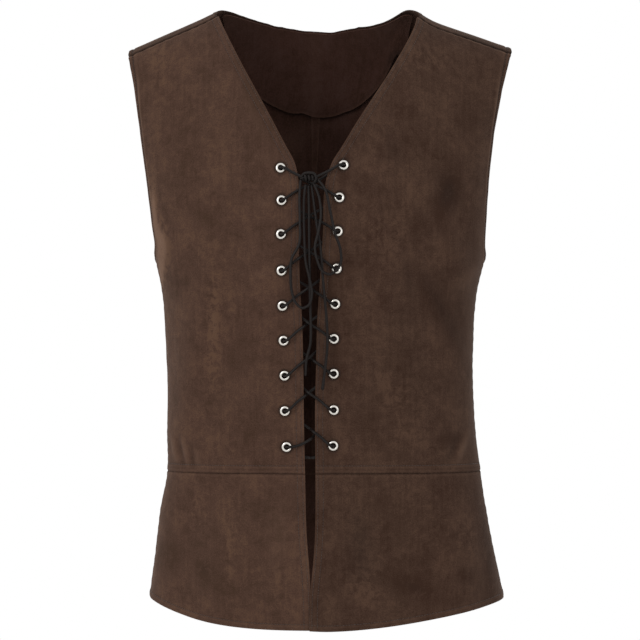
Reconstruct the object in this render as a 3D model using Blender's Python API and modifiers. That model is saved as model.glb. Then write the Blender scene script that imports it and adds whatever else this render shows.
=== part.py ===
"""Sleeveless lace-up vest in faux suede, hollow as worn, with eyelets and a cord lace.

The front faces -Y, +X is the wearer's left and +Z is up. The origin lies between the two neck
points, at the height of the shoulders, where the wearer carries the vest. Sizes are in
millimetres, and MM turns them to metres.

A place on the garment is given by (q, w). q runs over the shoulder like a tape: it is 0 on the
shoulder ridge, negative down the front and positive down the back, and q * q is the drop below
the ridge. w is the angle round the body from the centre, 90 degrees at the side.
"""

import bisect
import functools
import math
from collections import namedtuple

import bmesh
import bpy
import numpy as np
from mathutils import Vector, geometry

MM = 0.001

# Driving sizes of the cut
WALL = 1.6
SEAM_GAP = 0.3
NECK_POINT = {-1: 112, 1: 104.8}
NECK_LIFT = {-1: 1.5, 1: 6.0}
NECK_LIFT_REACH = 17
SHOULDER_HALF_WIDTH = 216
SHOULDER_FALL = {-1: 46.5, 1: 43.5}
SHOULDER_SEAM_DROP = 8.2
UNDERARM_DROP = 281
ARMHOLE_ROUND = 72
ARMHOLE_FRONT_REACH = 44
ARMHOLE_BACK_REACH = 50
ARMHOLE_RIDGE_SHARE = 0.75
SIDE_SEAM_FORWARD = 12
WAIST_DROP = 521
HEM_DROP = 692.6
HEM_SIDE_RISE = 30
HEM_ROUNDNESS = {-1: 3.1, 1: 1.6, 0: 2.4}
LEFT_HEM_LOWER = 1.3
CENTRE_SHIFT = -10
CENTRE_BACK_SHIFT = -7
FACING_WALL = 1.2
FACING_CLEAR = 0.95
FACING_CORNER_CLEAR = 3.1
FACING_CENTRE_X = 2
FACING_CENTRE_DROP = 5
FACING_DEPTH = 110
FACING_HALF_WIDTH = {-1: 118, 1: 90}
FACING_SIDE_SHARE = 0.33

# Grid of the panels
FRONT_COLUMNS = 13
SKIRT_ROWS = 7
BACK_COLUMNS = 11
BACK_NECK_COLUMNS = 6
RIDGE_ROWS_Q = (2.2, 0.8, -0.9)
BACK_SEAM_Q = -math.sqrt(SHOULDER_SEAM_DROP - SEAM_GAP / 2)

# Body sections from the shoulder ridge down: drop below the ridge, half width, depth to the front
# and to the back, squareness of the ring, and how far the ring's centre lies towards +X
Section = namedtuple("Section", "drop half_width front back square shift")
SECTIONS = (
    Section(0, 223, 0, 0, 6.0, 0),
    Section(6, 223, 24, 24, 5.8, 0),
    Section(20, 219, 42, 44, 5.2, -0.8),
    Section(50, 212, 62, 70, 4.4, -1.6),
    Section(100, 205, 84, 95, 3.6, -2.8),
    Section(160, 198, 103, 110, 3.1, -2.8),
    Section(220, 193, 116, 116, 2.8, -1.7),
    Section(281, 185.5, 122, 115, 2.6, 0),
    Section(329, 177, 121, 108, 2.5, -0.8),
    Section(380, 173.7, 115, 100, 2.5, -0.6),
    Section(430, 172.9, 110, 95, 2.5, 0.2),
    Section(481, 174.8, 107, 96, 2.5, 1.7),
    Section(521, 177, 106, 99, 2.5, 4.2),
    Section(566, 184.4, 110, 105, 2.5, 3.6),
    Section(617, 192.3, 116, 112, 2.5, 5.6),
    Section(665, 200.4, 121, 117, 2.5, 7.4),
    Section(712, 206.4, 125, 121, 2.5, 7.4),
)
RIDGE_FADE_DROP = 300
OVER_SHOULDER_DROP = 100
RIDGE_CROWN = 60

# The front edges from the shoulder down: height, and X of the edge on each front
EdgeRow = namedtuple("EdgeRow", "height right left")
FRONT_EDGES = (
    EdgeRow(0, -118, 112),
    EdgeRow(-20, -109.5, 106.5),
    EdgeRow(-63, -88.5, 84.5),
    EdgeRow(-105, -66, 58.2),
    EdgeRow(-130, -52.6, 42),
    EdgeRow(-160, -37, 24),
    EdgeRow(-176, -28.5, 14),
    EdgeRow(-190, -24.8, 8.5),
    EdgeRow(-210, -23.1, 4.8),
    EdgeRow(-250, -23.1, 3.4),
    EdgeRow(-307, -22.3, 0),
    EdgeRow(-350, -19.9, -3),
    EdgeRow(-395, -18.5, -4.2),
    EdgeRow(-460, -17.8, -5.5),
    EdgeRow(-520, -16.5, -5),
    EdgeRow(-590, -14.6, -5.6),
    EdgeRow(-620, -12.4, -7.4),
    EdgeRow(-655, -11, -9.8),
    EdgeRow(-700, -10.4, -9.8),
)

# Soft folds of the worn cloth: side of the body, the two ends of each, width and height, where a
# minus height is a trough
Fold = namedtuple("Fold", "side x_top z_top x_bottom z_bottom width height")
FOLDS = (
    Fold("front", -118, -260, -150, -500, 20, 4.0),
    Fold("front", -88, -215, -96, -400, 24, -3.5),
    Fold("front", -172, -300, -166, -500, 15, -2.5),
    Fold("front", 140, -250, 158, -320, 16, 3.5),
    Fold("front", 92, -250, 132, -470, 24, -4.0),
    Fold("front", 60, -330, 52, -440, 26, 2.5),
    Fold("front", -92, -560, -104, -700, 26, 3.5),
    Fold("front", -140, -540, -158, -700, 22, -3.0),
    Fold("front", 92, -540, 108, -700, 28, -3.0),
    Fold("front", 142, -560, 162, -700, 22, 3.5),
    Fold("back", -45, -400, -30, -560, 22, 3.5),
    Fold("back", 50, -380, 40, -560, 24, 3.0),
    Fold("back", -110, -330, -85, -500, 24, -3.5),
    Fold("back", 112, -320, 95, -520, 24, -3.5),
    Fold("back", -85, -560, -100, -700, 26, 4.0),
    Fold("back", 80, -560, 98, -700, 26, 4.0),
    Fold("back", 0, -560, 0, -700, 28, -3.0),
)

FOLDLESS_SIDE = 50
FOLDLESS_CENTRE = 45

# The back neck's edge across, from the wearer's right to the left: column of the cut, and q there
NeckRow = namedtuple("NeckRow", "column q")
BACK_NECK = (
    NeckRow(-6, BACK_SEAM_Q),
    NeckRow(-5, -0.33),
    NeckRow(-4, 1.73),
    NeckRow(-3, 3.66),
    NeckRow(-2, 5.17),
    NeckRow(-1, 6.02),
    NeckRow(0, 6.4),
    NeckRow(1, 5.62),
    NeckRow(2, 4.89),
    NeckRow(3, 3.41),
    NeckRow(4, 0.96),
    NeckRow(5, -0.42),
    NeckRow(6, BACK_SEAM_Q),
)

# Eyelets and lace
EYELET_HOLE = 2.8
EYELET_RADIUS = 5.5
EYELET_INNER_RADIUS = 4.7
EYELET_BARREL = 3.5
EYELET_CROWN = 1.2
EYELET_METAL = 0.6
EYELET_INNER_CLEAR = 0.5
EYELET_CUT = 3.9
EYELET_CUT_LENGTH = 12
EYELET_STEPS = 12
LACE_DIAMETER = 3.0
LACING_STEP = 6.5
LACE_OVER = 2.8
LACE_AT_EDGE = 2.5
LACE_UNDER = -4.6
LACE_UNDER_EDGE = -3.7
LACE_PAST_EDGE = 1.2
GAP_CROSSING = {1: 2.9, -1: -4.9}
KNOT_CROSSING = {1: -2.3, -1: -6.9}
KNOT_LEAD_OUT = 0.8
BAR_DROP = 12
BAR_HALF = 16
BOW_STEP = 9

# The lace's way through an eyelet: how far away from the centre, and how far out of the cloth
Pass = namedtuple("Pass", "aside out")
EYELET_PASS = (Pass(-1.6, -5), Pass(0.9, -2.6), Pass(0.3, 0.6), Pass(-1.4, 2.9))

# The eyelets from the top down: height of each one's centre, and its distance from the front edge
EyeletRow = namedtuple("EyeletRow", "right_height left_height right_inset left_inset")
EYELET_ROWS = (
    EyeletRow(-183.4, -180.3, 17.2, 14),
    EyeletRow(-219.4, -216.3, 19.6, 17.2),
    EyeletRow(-256.8, -253.7, 19.8, 16.2),
    EyeletRow(-297, -294.7, 19.7, 17.5),
    EyeletRow(-335.7, -333.7, 20.6, 18.7),
    EyeletRow(-374, -372, 21.1, 19.1),
    EyeletRow(-412.6, -410.5, 20.9, 19.8),
    EyeletRow(-451.6, -450.5, 20.9, 20.7),
    EyeletRow(-491.3, -490, 19.7, 19.9),
)

SUEDE = (0.052, 0.030, 0.021, 1)
SUEDE_INSIDE = (0.022, 0.009, 0.008, 1)
NICKEL = (0.62, 0.60, 0.57, 1)
BLACK_CORD = (0.008, 0.008, 0.009, 1)


def smooth_curve(knots, values):
    """A smooth curve through a table's rows, each tangent taken from its two neighbours."""
    knots = [float(knot) for knot in knots]
    values = [float(value) for value in values]
    slopes = [float(slope) for slope in np.gradient(values, knots)]

    def at(place):
        low = min(max(bisect.bisect(knots, place) - 1, 0), len(knots) - 2)
        span = knots[low + 1] - knots[low]
        t = min(max((place - knots[low]) / span, 0), 1)
        rise = t * t * (3 - 2 * t)
        from_low = values[low] * (1 - rise) + slopes[low] * span * t * (1 - t) * (1 - t)
        from_high = values[low + 1] * rise + slopes[low + 1] * span * t * t * (t - 1)
        return from_low + from_high

    return at


SECTION_Q = [math.sqrt(row.drop) for row in SECTIONS]
HALF_WIDTH_AT = smooth_curve(SECTION_Q, [row.half_width for row in SECTIONS])
SQUARE_AT = smooth_curve(SECTION_Q, [row.square for row in SECTIONS])
SHIFT_AT = smooth_curve(SECTION_Q, [row.shift for row in SECTIONS])
DEPTH_AT = smooth_curve(
    [-q for q in SECTION_Q[:0:-1]] + SECTION_Q,
    [-row.front for row in SECTIONS[:0:-1]] + [row.back for row in SECTIONS],
)
Ring = namedtuple("Ring", "half_width depth square shift ridge_share")


@functools.lru_cache(maxsize=None)
def ring(q):
    """The half ring at q: front where q is below 0, back where it is above."""
    far = abs(q)
    t = min(far * far / RIDGE_FADE_DROP, 1)
    share = 1 - t * t * (3 - 2 * t)
    return Ring(HALF_WIDTH_AT(far), DEPTH_AT(q), SQUARE_AT(far), SHIFT_AT(far), share)


def ridge_height(x):
    """Height of the shoulder ridge: an even fall from each neck point, which stands up a little."""
    to_left = min(max((x + RIDGE_CROWN) / (2 * RIDGE_CROWN), 0), 1)
    neck_x, fall, lift = (
        pair[-1] + (pair[1] - pair[-1]) * to_left for pair in (NECK_POINT, SHOULDER_FALL, NECK_LIFT)
    )
    neck = math.hypot(neck_x, RIDGE_CROWN)
    beyond = (math.hypot(x, RIDGE_CROWN) - neck) / (math.hypot(SHOULDER_HALF_WIDTH, RIDGE_CROWN) - neck)
    stand = lift * math.exp(-(((abs(x) - neck_x) / NECK_LIFT_REACH) ** 2))
    return stand - lift - (fall - lift) * beyond


def base_point(q, w):
    """The smooth body form at (q, w). Past the side the place goes on over the other half."""
    if abs(w) > math.pi / 2:
        q, w = -q, math.copysign(math.pi, w) - w
    here = ring(q)
    power = 2 / here.square
    x = here.shift + here.half_width * math.copysign(abs(math.sin(w)) ** power, w)
    y = here.depth * abs(math.cos(w)) ** power
    return Vector((x, y, ridge_height(x) * here.ridge_share - q * q))


def outward(q, w):
    """The surface's outward direction at (q, w)."""
    step_w, step_q = 0.004, 0.02
    along_w = base_point(q, w + step_w) - base_point(q, w - step_w)
    along_q = base_point(q + step_q, w) - base_point(q - step_q, w)
    normal = along_w.cross(along_q).normalized()
    point = base_point(q, w)
    over_shoulder = max(0, 1 - q * q / OVER_SHOULDER_DROP)
    from_inside = Vector((point.x * (1 - 0.7 * over_shoulder), point.y, RIDGE_CROWN * over_shoulder))
    return normal if normal.dot(from_inside) > 0 else -normal


def fold_height(point):
    """How far the soft folds raise the cloth at a point of the body form."""
    side = "front" if point.y < 0 else "back"
    height = 0
    for fold in FOLDS:
        if fold.side != side:
            continue
        run = Vector((fold.x_bottom - fold.x_top, fold.z_bottom - fold.z_top))
        place = Vector((point.x - fold.x_top, point.z - fold.z_top))
        along = place.dot(run) / run.length_squared
        beside = abs(place.cross(run)) / run.length
        if 0 < along < 1:
            ends = min(1, 4 * along) if fold.z_bottom <= -HEM_DROP else math.sin(math.pi * along)
            height += fold.height * ends * math.exp(-((beside / fold.width) ** 2))
    side_calm = min(1, abs(point.y) / FOLDLESS_SIDE)
    centre_calm = min(1, abs(point.x - CENTRE_SHIFT) / FOLDLESS_CENTRE)
    return height * side_calm * centre_calm


def cloth_point(q, w, out=0):
    """A point of the worn cloth's outer face, with its folds, moved out by the given distance."""
    base = base_point(q, w)
    return base + outward(q, w) * (fold_height(base) + out)


def q_at_height(x, z, side):
    """The q whose place at this X lies at this height."""
    drop = -z
    for _ in range(8):
        drop = ridge_height(x) * ring(math.sqrt(max(drop, 0))).ridge_share - z
    return side * math.sqrt(max(drop, 0))


def w_at_x(q, x):
    """The angle round the ring at q where the cloth crosses this X."""
    here = ring(q)
    share = (x - here.shift) / here.half_width
    return math.copysign(math.asin(min(abs(share), 1) ** (here.square / 2)), share)


def front_place(x, z):
    """(q, w) of the front's place at this X and height."""
    q = q_at_height(x, z, -1)
    return q, w_at_x(q, x)


def on_front(x, z, out=0):
    """A point on the front at this X and height, moved out by the given distance."""
    return cloth_point(*front_place(x, z), out)


EDGE_HEIGHTS = [row.height for row in FRONT_EDGES[::-1]]
EDGE_AT = {
    -1: smooth_curve(EDGE_HEIGHTS, [row.right for row in FRONT_EDGES[::-1]]),
    1: smooth_curve(EDGE_HEIGHTS, [row.left for row in FRONT_EDGES[::-1]]),
}


def front_edge_x(side, z):
    """X of a front's lacing edge at a height. Side is -1 for the wearer's right, 1 for the left."""
    return EDGE_AT[side](z)


def front_edge_w(side, q):
    """The angle of a front's lacing edge at q."""
    x = CENTRE_SHIFT
    for _ in range(8):
        x = front_edge_x(side, ridge_height(x) * ring(q).ridge_share - q * q)
    return w_at_x(q, x)


def armhole_w(side, q):
    """The angle of the armhole's edge at q: the shoulder tip on top, an oval below it."""
    drop = q * q
    depth = abs(ring(q).depth)
    power = ring(q).square
    reach = ARMHOLE_FRONT_REACH if q < 0 else ARMHOLE_BACK_REACH
    forward = -SIDE_SEAM_FORWARD if q < 0 else SIDE_SEAM_FORWARD
    into_round = max(0, drop - (UNDERARM_DROP - ARMHOLE_ROUND)) / ARMHOLE_ROUND
    oval = (reach + forward) * math.sqrt(max(0, 1 - into_round**2)) - forward
    if oval <= 0:
        over = True
        share = min(-oval / abs(ring(-q).depth), 1)
    else:
        over = False
        wide = ARMHOLE_RIDGE_SHARE * depth + 1e-6
        blend = (wide**-3 + oval**-3) ** (-1 / 3)
        share = blend / (depth + 1e-6)
        share = min(share, ARMHOLE_RIDGE_SHARE)
    w = math.acos(min(1, share ** (power / 2)))
    return side * (math.pi - w if over else w)


def side_seam_w(side, q):
    """The angle of the side seam, a little forward of the widest place. It goes with q below 0."""
    share = SIDE_SEAM_FORWARD / abs(ring(-abs(q)).depth)
    w = math.acos(share ** (ring(q).square / 2))
    return side * (w if q < 0 else math.pi - w)


def outer_w(side, q):
    """The angle of a panel's outer edge: the armhole above the underarm, the side seam below it."""
    return armhole_w(side, q) if q * q < UNDERARM_DROP else side_seam_w(side, q)


def along_ring(q, w_from, w_to, share):
    """The angle a given share of the way round the ring between two angles, by length of cloth."""
    angles = np.linspace(w_from, w_to, 61)
    points = [base_point(q, w) for w in angles]
    steps = [(b - a).length for a, b in zip(points, points[1:])]
    lengths = np.concatenate([[0], np.cumsum(steps)])
    return float(np.interp(share * lengths[-1], lengths, angles))


def shift_along(q, w, distance, sign):
    """The angle moved round the ring by a distance in millimetres."""
    step = 0.01
    per_angle = (base_point(q, w + step) - base_point(q, w - step)).length / (2 * step)
    return w + sign * distance / per_angle


def wall(name, outer, normals, thickness, material, collection):
    """A closed cloth wall from a grid of outer points and its directions, its inside plain."""
    rows, columns = len(outer), len(outer[0])
    shape = bmesh.new()
    faces = [[shape.verts.new(p * MM) for p in row] for row in outer]
    backs = [
        [shape.verts.new((p - n * thickness) * MM) for p, n in zip(row, directions)]
        for row, directions in zip(outer, normals)
    ]
    for i in range(rows - 1):
        for j in range(columns - 1):
            shape.faces.new((faces[i][j], faces[i][j + 1], faces[i + 1][j + 1], faces[i + 1][j]))
            shape.faces.new((backs[i][j], backs[i + 1][j], backs[i + 1][j + 1], backs[i][j + 1]))
    rim = [(0, j) for j in range(columns)]
    rim += [(i, columns - 1) for i in range(1, rows)]
    rim += [(rows - 1, j) for j in range(columns - 2, -1, -1)]
    rim += [(i, 0) for i in range(rows - 2, 0, -1)]
    for (i, j), (k, l) in zip(rim, rim[1:] + rim[:1]):
        shape.faces.new((faces[i][j], backs[i][j], backs[k][l], faces[k][l]))
    bmesh.ops.recalc_face_normals(shape, faces=shape.faces)
    mesh = bpy.data.meshes.new(name)
    shape.to_mesh(mesh)
    shape.free()
    mesh.shade_smooth()
    mesh.set_sharp_from_angle(angle=math.radians(50))
    mesh.materials.append(material)
    panel = bpy.data.objects.new(name, mesh)
    collection.objects.link(panel)
    return panel


def panel(name, places, material, collection, out=0, thickness=WALL):
    """A cloth wall over a grid of (q, w) places."""
    outer = [[cloth_point(q, w, out) for q, w in row] for row in places]
    normals = [[outward(q, w) for q, w in row] for row in places]
    return wall(name, outer, normals, thickness, material, collection)


def upper_rows():
    """Drops of the upper panels' rows, from the waist seam up, close together round the underarm."""
    waist = np.linspace(WAIST_DROP - SEAM_GAP / 2, UNDERARM_DROP, 11)
    turns = np.radians([18, 34, 50, 66, 90])
    round_part = UNDERARM_DROP - ARMHOLE_ROUND * (1 - np.cos(turns))
    armhole = np.linspace(UNDERARM_DROP - ARMHOLE_ROUND, 62, 8)[1:]
    shoulder = [44, 29, 16]
    return [*waist, *round_part, *armhole, *shoulder]


def front_panel(side, name, material, collection):
    """One upper front, from the waist seam up to the shoulder seam."""
    places = []
    for drop in [*upper_rows(), SHOULDER_SEAM_DROP + SEAM_GAP / 2]:
        q = -math.sqrt(drop)
        inner = front_edge_w(side, q)
        outer = outer_w(side, q)
        if drop >= UNDERARM_DROP:
            outer = shift_along(q, outer, SEAM_GAP / 2, -side)
        shares = [j / FRONT_COLUMNS for j in range(FRONT_COLUMNS + 1)]
        places.append([(q, along_ring(q, inner, outer, share)) for share in shares])
    return panel(name, places, material, collection)


NECK_CORNER = {side: front_edge_x(side, -SHOULDER_SEAM_DROP) for side in (-1, 1)}
BACK_NECK_Q_AT = smooth_curve([row.column for row in BACK_NECK], [row.q for row in BACK_NECK])


def back_place(side, q, share, gap=SEAM_GAP / 2):
    """(q, w) on an upper back, by its share of the way from the centre seam to its outer edge."""
    inner = shift_along(q, w_at_x(q, CENTRE_BACK_SHIFT), gap, side)
    outer = outer_w(side, q)
    if q * q >= UNDERARM_DROP:
        outer = shift_along(q, outer, gap, -side)
    return q, along_ring(q, inner, outer, share)


def back_places(side):
    """The (q, w) grid of an upper back, from the waist seam up and over to the shoulder seam."""
    drops = upper_rows()
    waist_q = math.sqrt(drops[0])
    across_neck = NECK_CORNER[side] - CENTRE_BACK_SHIFT
    neck_share = abs(across_neck) / abs(side * SHOULDER_HALF_WIDTH - CENTRE_BACK_SHIFT)
    tops = []
    for j in range(BACK_COLUMNS + 1):
        if j < BACK_NECK_COLUMNS:
            over_neck = math.sin(j / BACK_NECK_COLUMNS * math.pi / 2)
            tops.append((BACK_NECK_Q_AT(side * j), neck_share * over_neck))
        else:
            beyond = (j - BACK_NECK_COLUMNS) / (BACK_COLUMNS - BACK_NECK_COLUMNS)
            tops.append((BACK_SEAM_Q, neck_share + (1 - neck_share) * beyond))
    places = []
    for q_row in [*(math.sqrt(drop) for drop in drops), *RIDGE_ROWS_Q, BACK_SEAM_Q]:
        rise = (waist_q - q_row) / (waist_q - BACK_SEAM_Q)
        row = []
        for j, (top_q, top_share) in enumerate(tops):
            share = j / BACK_COLUMNS + (top_share - j / BACK_COLUMNS) * rise**2
            row.append(back_place(side, q_row + (top_q - BACK_SEAM_Q) * rise**2, share))
        places.append(row)
    return places


def hem_drop(w, side, lower=0):
    """Drop of the hem at an angle: straight in front and behind, curved up to the sides."""
    aside = abs(math.sin(w)) ** (2 / SECTIONS[-1].square)
    return HEM_DROP + lower - HEM_SIDE_RISE * aside ** HEM_ROUNDNESS[side]


def skirt_panel(name, half, side, w_from, w_to, material, collection, columns, lower=0):
    """A skirt piece from the waist seam down to the hem, between two edges given as angles of q."""
    top = WAIST_DROP + SEAM_GAP / 2
    rows = SKIRT_ROWS
    places = []
    for i in range(rows + 1):
        row = []
        for j in range(columns + 1):
            drop = top + (HEM_DROP - top) * i / rows
            w = 0
            for _ in range(4):
                q = half * math.sqrt(drop)
                w = along_ring(q, w_from(q), w_to(q), j / columns)
                drop = top + (hem_drop(w, side, lower) - top) * i / rows
            row.append((half * math.sqrt(drop), w))
        places.append(row)
    return panel(name, places, material, collection)


def facing_low_z(x):
    """Height of the facing's lower edge at X, on an oval that is wider on the wearer's right."""
    across = (x - FACING_CENTRE_X) / FACING_HALF_WIDTH[1 if x > FACING_CENTRE_X else -1]
    return -FACING_CENTRE_DROP - FACING_DEPTH * max(FACING_SIDE_SHARE, math.sqrt(max(0, 1 - across ** 2)))


def facing_column(places, column, top_gap, rows):
    """Outer points and directions of the facing along one column of an upper back's points."""
    q_rows = [row[column][0] for row in places][::-1]
    points = [cloth_point(*row[column]) for row in places][::-1]
    directions = [outward(*row[column]) for row in places][::-1]
    top = points[0]
    w_rows = [row[column][1] for row in places][::-1]
    x = top.x
    for _ in range(6):
        low_q = q_at_height(x, facing_low_z(x), 1)
        x = cloth_point(low_q, float(np.interp(low_q, q_rows, w_rows))).x
    high_q = q_at_height(top.x, top.z - top_gap, 1)
    clear = FACING_CLEAR + FACING_CORNER_CLEAR * (column / BACK_NECK_COLUMNS) ** 2
    found = []
    for i in range(rows + 1):
        q = high_q + (low_q - high_q) * i / rows
        low = min(bisect.bisect(q_rows, q), len(q_rows) - 1)
        t = (q - q_rows[low - 1]) / (q_rows[low] - q_rows[low - 1])
        direction = directions[low - 1].lerp(directions[low], t)
        found.append((points[low - 1].lerp(points[low], t) - direction * (WALL + clear), direction))
    return found


def neck_facing(material, collection, rows=5):
    """The deep facing inside the back neck, made from the backs' own points, moved in."""
    columns = []
    for side in (-1, 1):
        places = back_places(side)
        nodes = [facing_column(places, j, 1, rows) for j in range(BACK_NECK_COLUMNS)]
        columns += nodes[::-1] if side < 0 else nodes[1:]
    outer = [[column[i][0] for column in columns] for i in range(rows + 1)]
    normals = [[column[i][1] for column in columns] for i in range(rows + 1)]
    return wall("back_neck_facing", outer, normals, FACING_WALL, material, collection)


def eyelet_places():
    """(side, number, q, w) of every eyelet, number 1 at the top."""
    found = []
    for number, row in enumerate(EYELET_ROWS, 1):
        for side, z, inset in ((-1, row.right_height, row.right_inset), (1, row.left_height, row.left_inset)):
            x = front_edge_x(side, z) + side * inset
            found.append((side, number, *front_place(x, z)))
    return found


def stand_on(obj, q, w, out=0):
    """Turns an object so that its Z axis points out of the cloth at (q, w), and puts it there."""
    obj.location = cloth_point(q, w, out) * MM
    obj.rotation_euler = outward(q, w).to_track_quat("Z", "Y").to_euler()


def eyelet_mesh(material):
    """A turned eyelet: a domed flange outside, a barrel through the cloth, a flat flange inside."""
    outside = SEAM_GAP
    inside = -WALL - EYELET_INNER_CLEAR
    crown = (EYELET_HOLE + EYELET_RADIUS) / 2 - EYELET_METAL / 2
    profile = (
        (EYELET_HOLE, outside),
        (crown, EYELET_CROWN),
        (EYELET_RADIUS, outside),
        (EYELET_BARREL, outside),
        (EYELET_BARREL, inside),
        (EYELET_INNER_RADIUS, inside),
        (EYELET_INNER_RADIUS, inside - EYELET_METAL),
        (EYELET_HOLE, inside - EYELET_METAL),
    )
    mesh = bpy.data.meshes.new("eyelet")
    points = [(r * MM, 0, h * MM) for r, h in profile]
    loop = [(i, (i + 1) % len(profile)) for i in range(len(profile))]
    mesh.from_pydata(points, loop, [])
    mesh.materials.append(material)
    return mesh


def add_eyelets(fronts, material, collection, cutters):
    """The 18 eyelets, each through a hole cut in its front."""
    mesh = eyelet_mesh(material)
    for side, number, q, w in eyelet_places():
        label = "right" if side < 0 else "left"
        eyelet = bpy.data.objects.new(f"eyelet_{label}_{number}", mesh)
        collection.objects.link(eyelet)
        turned = eyelet.modifiers.new("turned", "SCREW")
        turned.steps = EYELET_STEPS
        turned.render_steps = EYELET_STEPS
        turned.use_merge_vertices = True
        turned.merge_threshold = 0.00001
        stand_on(eyelet, q, w)
        bpy.ops.mesh.primitive_cylinder_add(
            vertices=EYELET_STEPS, radius=EYELET_CUT * MM, depth=EYELET_CUT_LENGTH * MM
        )
        cutter = bpy.context.object
        cutter.name = f"hole_{label}_{number}"
        for owner in cutter.users_collection:
            owner.objects.unlink(cutter)
        cutters.objects.link(cutter)
        cutter.hide_render = True
        cutter.display_type = "WIRE"
        stand_on(cutter, q, w)
        hole = fronts[side].modifiers.new(f"hole_{number}", "BOOLEAN")
        hole.operation = "DIFFERENCE"
        hole.solver = "EXACT"
        hole.object = cutter


def smooth_route(route, spacing):
    """Points along a smooth curve through route points, about the given spacing apart."""
    route = [Vector(p) for p in route]
    lengths = [0.0]
    for a, b in zip(route, route[1:]):
        lengths.append(lengths[-1] + (b - a).length)
    count = max(2, round(lengths[-1] / spacing))
    at = np.linspace(0, lengths[-1], count + 1)
    curves = [smooth_curve(lengths, [p[axis] for p in route]) for axis in range(3)]
    return [Vector([curve(place) for curve in curves]) for place in at]


def cord(name, points, material, collection):
    """A round cord along its points, with filled ends."""
    data = bpy.data.curves.new(name, "CURVE")
    data.dimensions = "3D"
    data.bevel_depth = LACE_DIAMETER / 2 * MM
    data.bevel_resolution = 2
    data.use_fill_caps = True
    spline = data.splines.new("POLY")
    spline.points.add(len(points) - 1)
    for point, place in zip(spline.points, points):
        point.co = (*(place * MM), 1)
    data.materials.append(material)
    lace = bpy.data.objects.new(name, data)
    collection.objects.link(lace)
    return lace


def lacing_route(first_side, in_front):
    """The route of one half of the lace, from the bar behind the lowest pair to the top eyelet."""
    places = {(side, number): cloth_point(q, w) for side, number, q, w in eyelet_places()}
    bar_z = EYELET_ROWS[-1].right_height - BAR_DROP
    from_centre = (LACE_DIAMETER + 2 * SEAM_GAP) / 3
    side = first_side
    route = [
        on_front(CENTRE_SHIFT + side * from_centre, bar_z, LACE_UNDER),
        on_front(CENTRE_SHIFT + side * BAR_HALF, bar_z + LACE_DIAMETER, LACE_UNDER),
    ]
    for number in range(len(EYELET_ROWS), 0, -1):
        here = places[side, number]
        route += [on_front(here.x + side * step.aside, here.z, step.out) for step in EYELET_PASS]
        if number == 1:
            break
        there = places[-side, number - 1]
        other_way = (places[-side, number].xz, places[side, number - 1].xz)
        middle = geometry.intersect_line_line_2d(here.xz, there.xz, *other_way)
        own_edge = front_edge_x(side, here.z)
        far_edge = front_edge_x(-side, there.z)
        crossing = KNOT_CROSSING if number == 2 else GAP_CROSSING
        for x, out in (
            (own_edge + side * 1.7 * LACE_DIAMETER, LACE_OVER),
            (own_edge - side * LACE_PAST_EDGE, LACE_AT_EDGE),
            (middle.x, crossing[in_front]),
            (far_edge + side * LACE_PAST_EDGE, LACE_UNDER_EDGE),
            (far_edge - side * 2 * LACE_DIAMETER, LACE_UNDER),
        ):
            share = (x - here.x) / (there.x - here.x)
            route.append(on_front(x, here.z + (there.z - here.z) * share, out))
        side = -side
    return route, side


# Bow routes from the knot: X, height, and distance in front of the fronts' surface
KNOT = (-12.0, -195.5, 4.5)
KNOT_HALF = (9.5, 6.6, 4.6)
LOOP_RIGHT = (
    (-21.3, -199, 5.4), (-22.4, -214, 7.4), (-22, -242, 7.8), (-23, -269, 7.8), (-31, -285, 7.6),
    (-32, -301, 7.6), (-30.2, -321, 7.8), (-26, -332, 8.8), (-19, -337, 10.2), (-12.4, -334, 10.8),
    (-9, -323, 10.8), (-11, -308, 10.2), (-15.6, -287, 8.8), (-17, -264, 7.8), (-17.7, -236, 7.8),
    (-17.5, -218, 7.6), (-16.0, -204.6, 6.6),
)
LOOP_LEFT = (
    (-2.3, -198, 5.4), (4.5, -207, 7.4), (11, -232, 7.8), (16.5, -257, 7.8), (22.3, -275, 7.8),
    (22, -290, 7.8), (17.5, -297, 8.0), (10.5, -301, 8.8), (3, -298, 10.2), (-3, -286, 10.8),
    (-5.5, -273, 10.8), (-1.5, -254, 10.8), (0.9, -238, 10.0), (-1.0, -218, 8.6), (-6.0, -204.0, 7.0),
)
END_RIGHT = (
    (-12.8, -204.9, 4.0), (-12.3, -222, 5.8), (-12.0, -252, 6.6), (-11.6, -282, 6.6), (-11.2, -312, 6.6),
    (-10.6, -337, 6.8), (-10, -357, 7.0), (-10.8, -378, 7.2), (-14.6, -393, 7.2), (-15.8, -411, 7.2),
)
END_LEFT = (
    (-9.2, -204.7, 4.0), (-6.9, -222, 5.8), (-3.5, -247, 6.6), (0.6, -273, 6.8), (2.6, -299, 7.0),
    (5.4, -330, 7.2), (7.6, -356, 7.4), (7.8, -382, 7.4), (5.8, -402, 7.4), (2.8, -426, 7.2),
)


def add_bow(material, collection):
    """The knot at the top of the lacing, its two loops and its two free ends."""
    bpy.ops.mesh.primitive_uv_sphere_add(segments=12, ring_count=8, radius=MM)
    knot = bpy.context.object
    knot.name = "lace_knot"
    for owner in knot.users_collection:
        owner.objects.unlink(knot)
    collection.objects.link(knot)
    half_x, half_z, half_y = KNOT_HALF
    knot.data.transform(((half_x, 0, 0, 0), (0, half_y, 0, 0), (0, 0, half_z, 0), (0, 0, 0, 1)))
    knot.location = on_front(*KNOT) * MM
    knot.data.materials.append(material)
    knot.data.shade_smooth()
    for name, route in (
        ("lace_loop_right", LOOP_RIGHT),
        ("lace_loop_left", LOOP_LEFT),
        ("lace_end_right", END_RIGHT),
        ("lace_end_left", END_LEFT),
    ):
        cord(name, smooth_route([on_front(*place) for place in route], BOW_STEP), material, collection)


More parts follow.
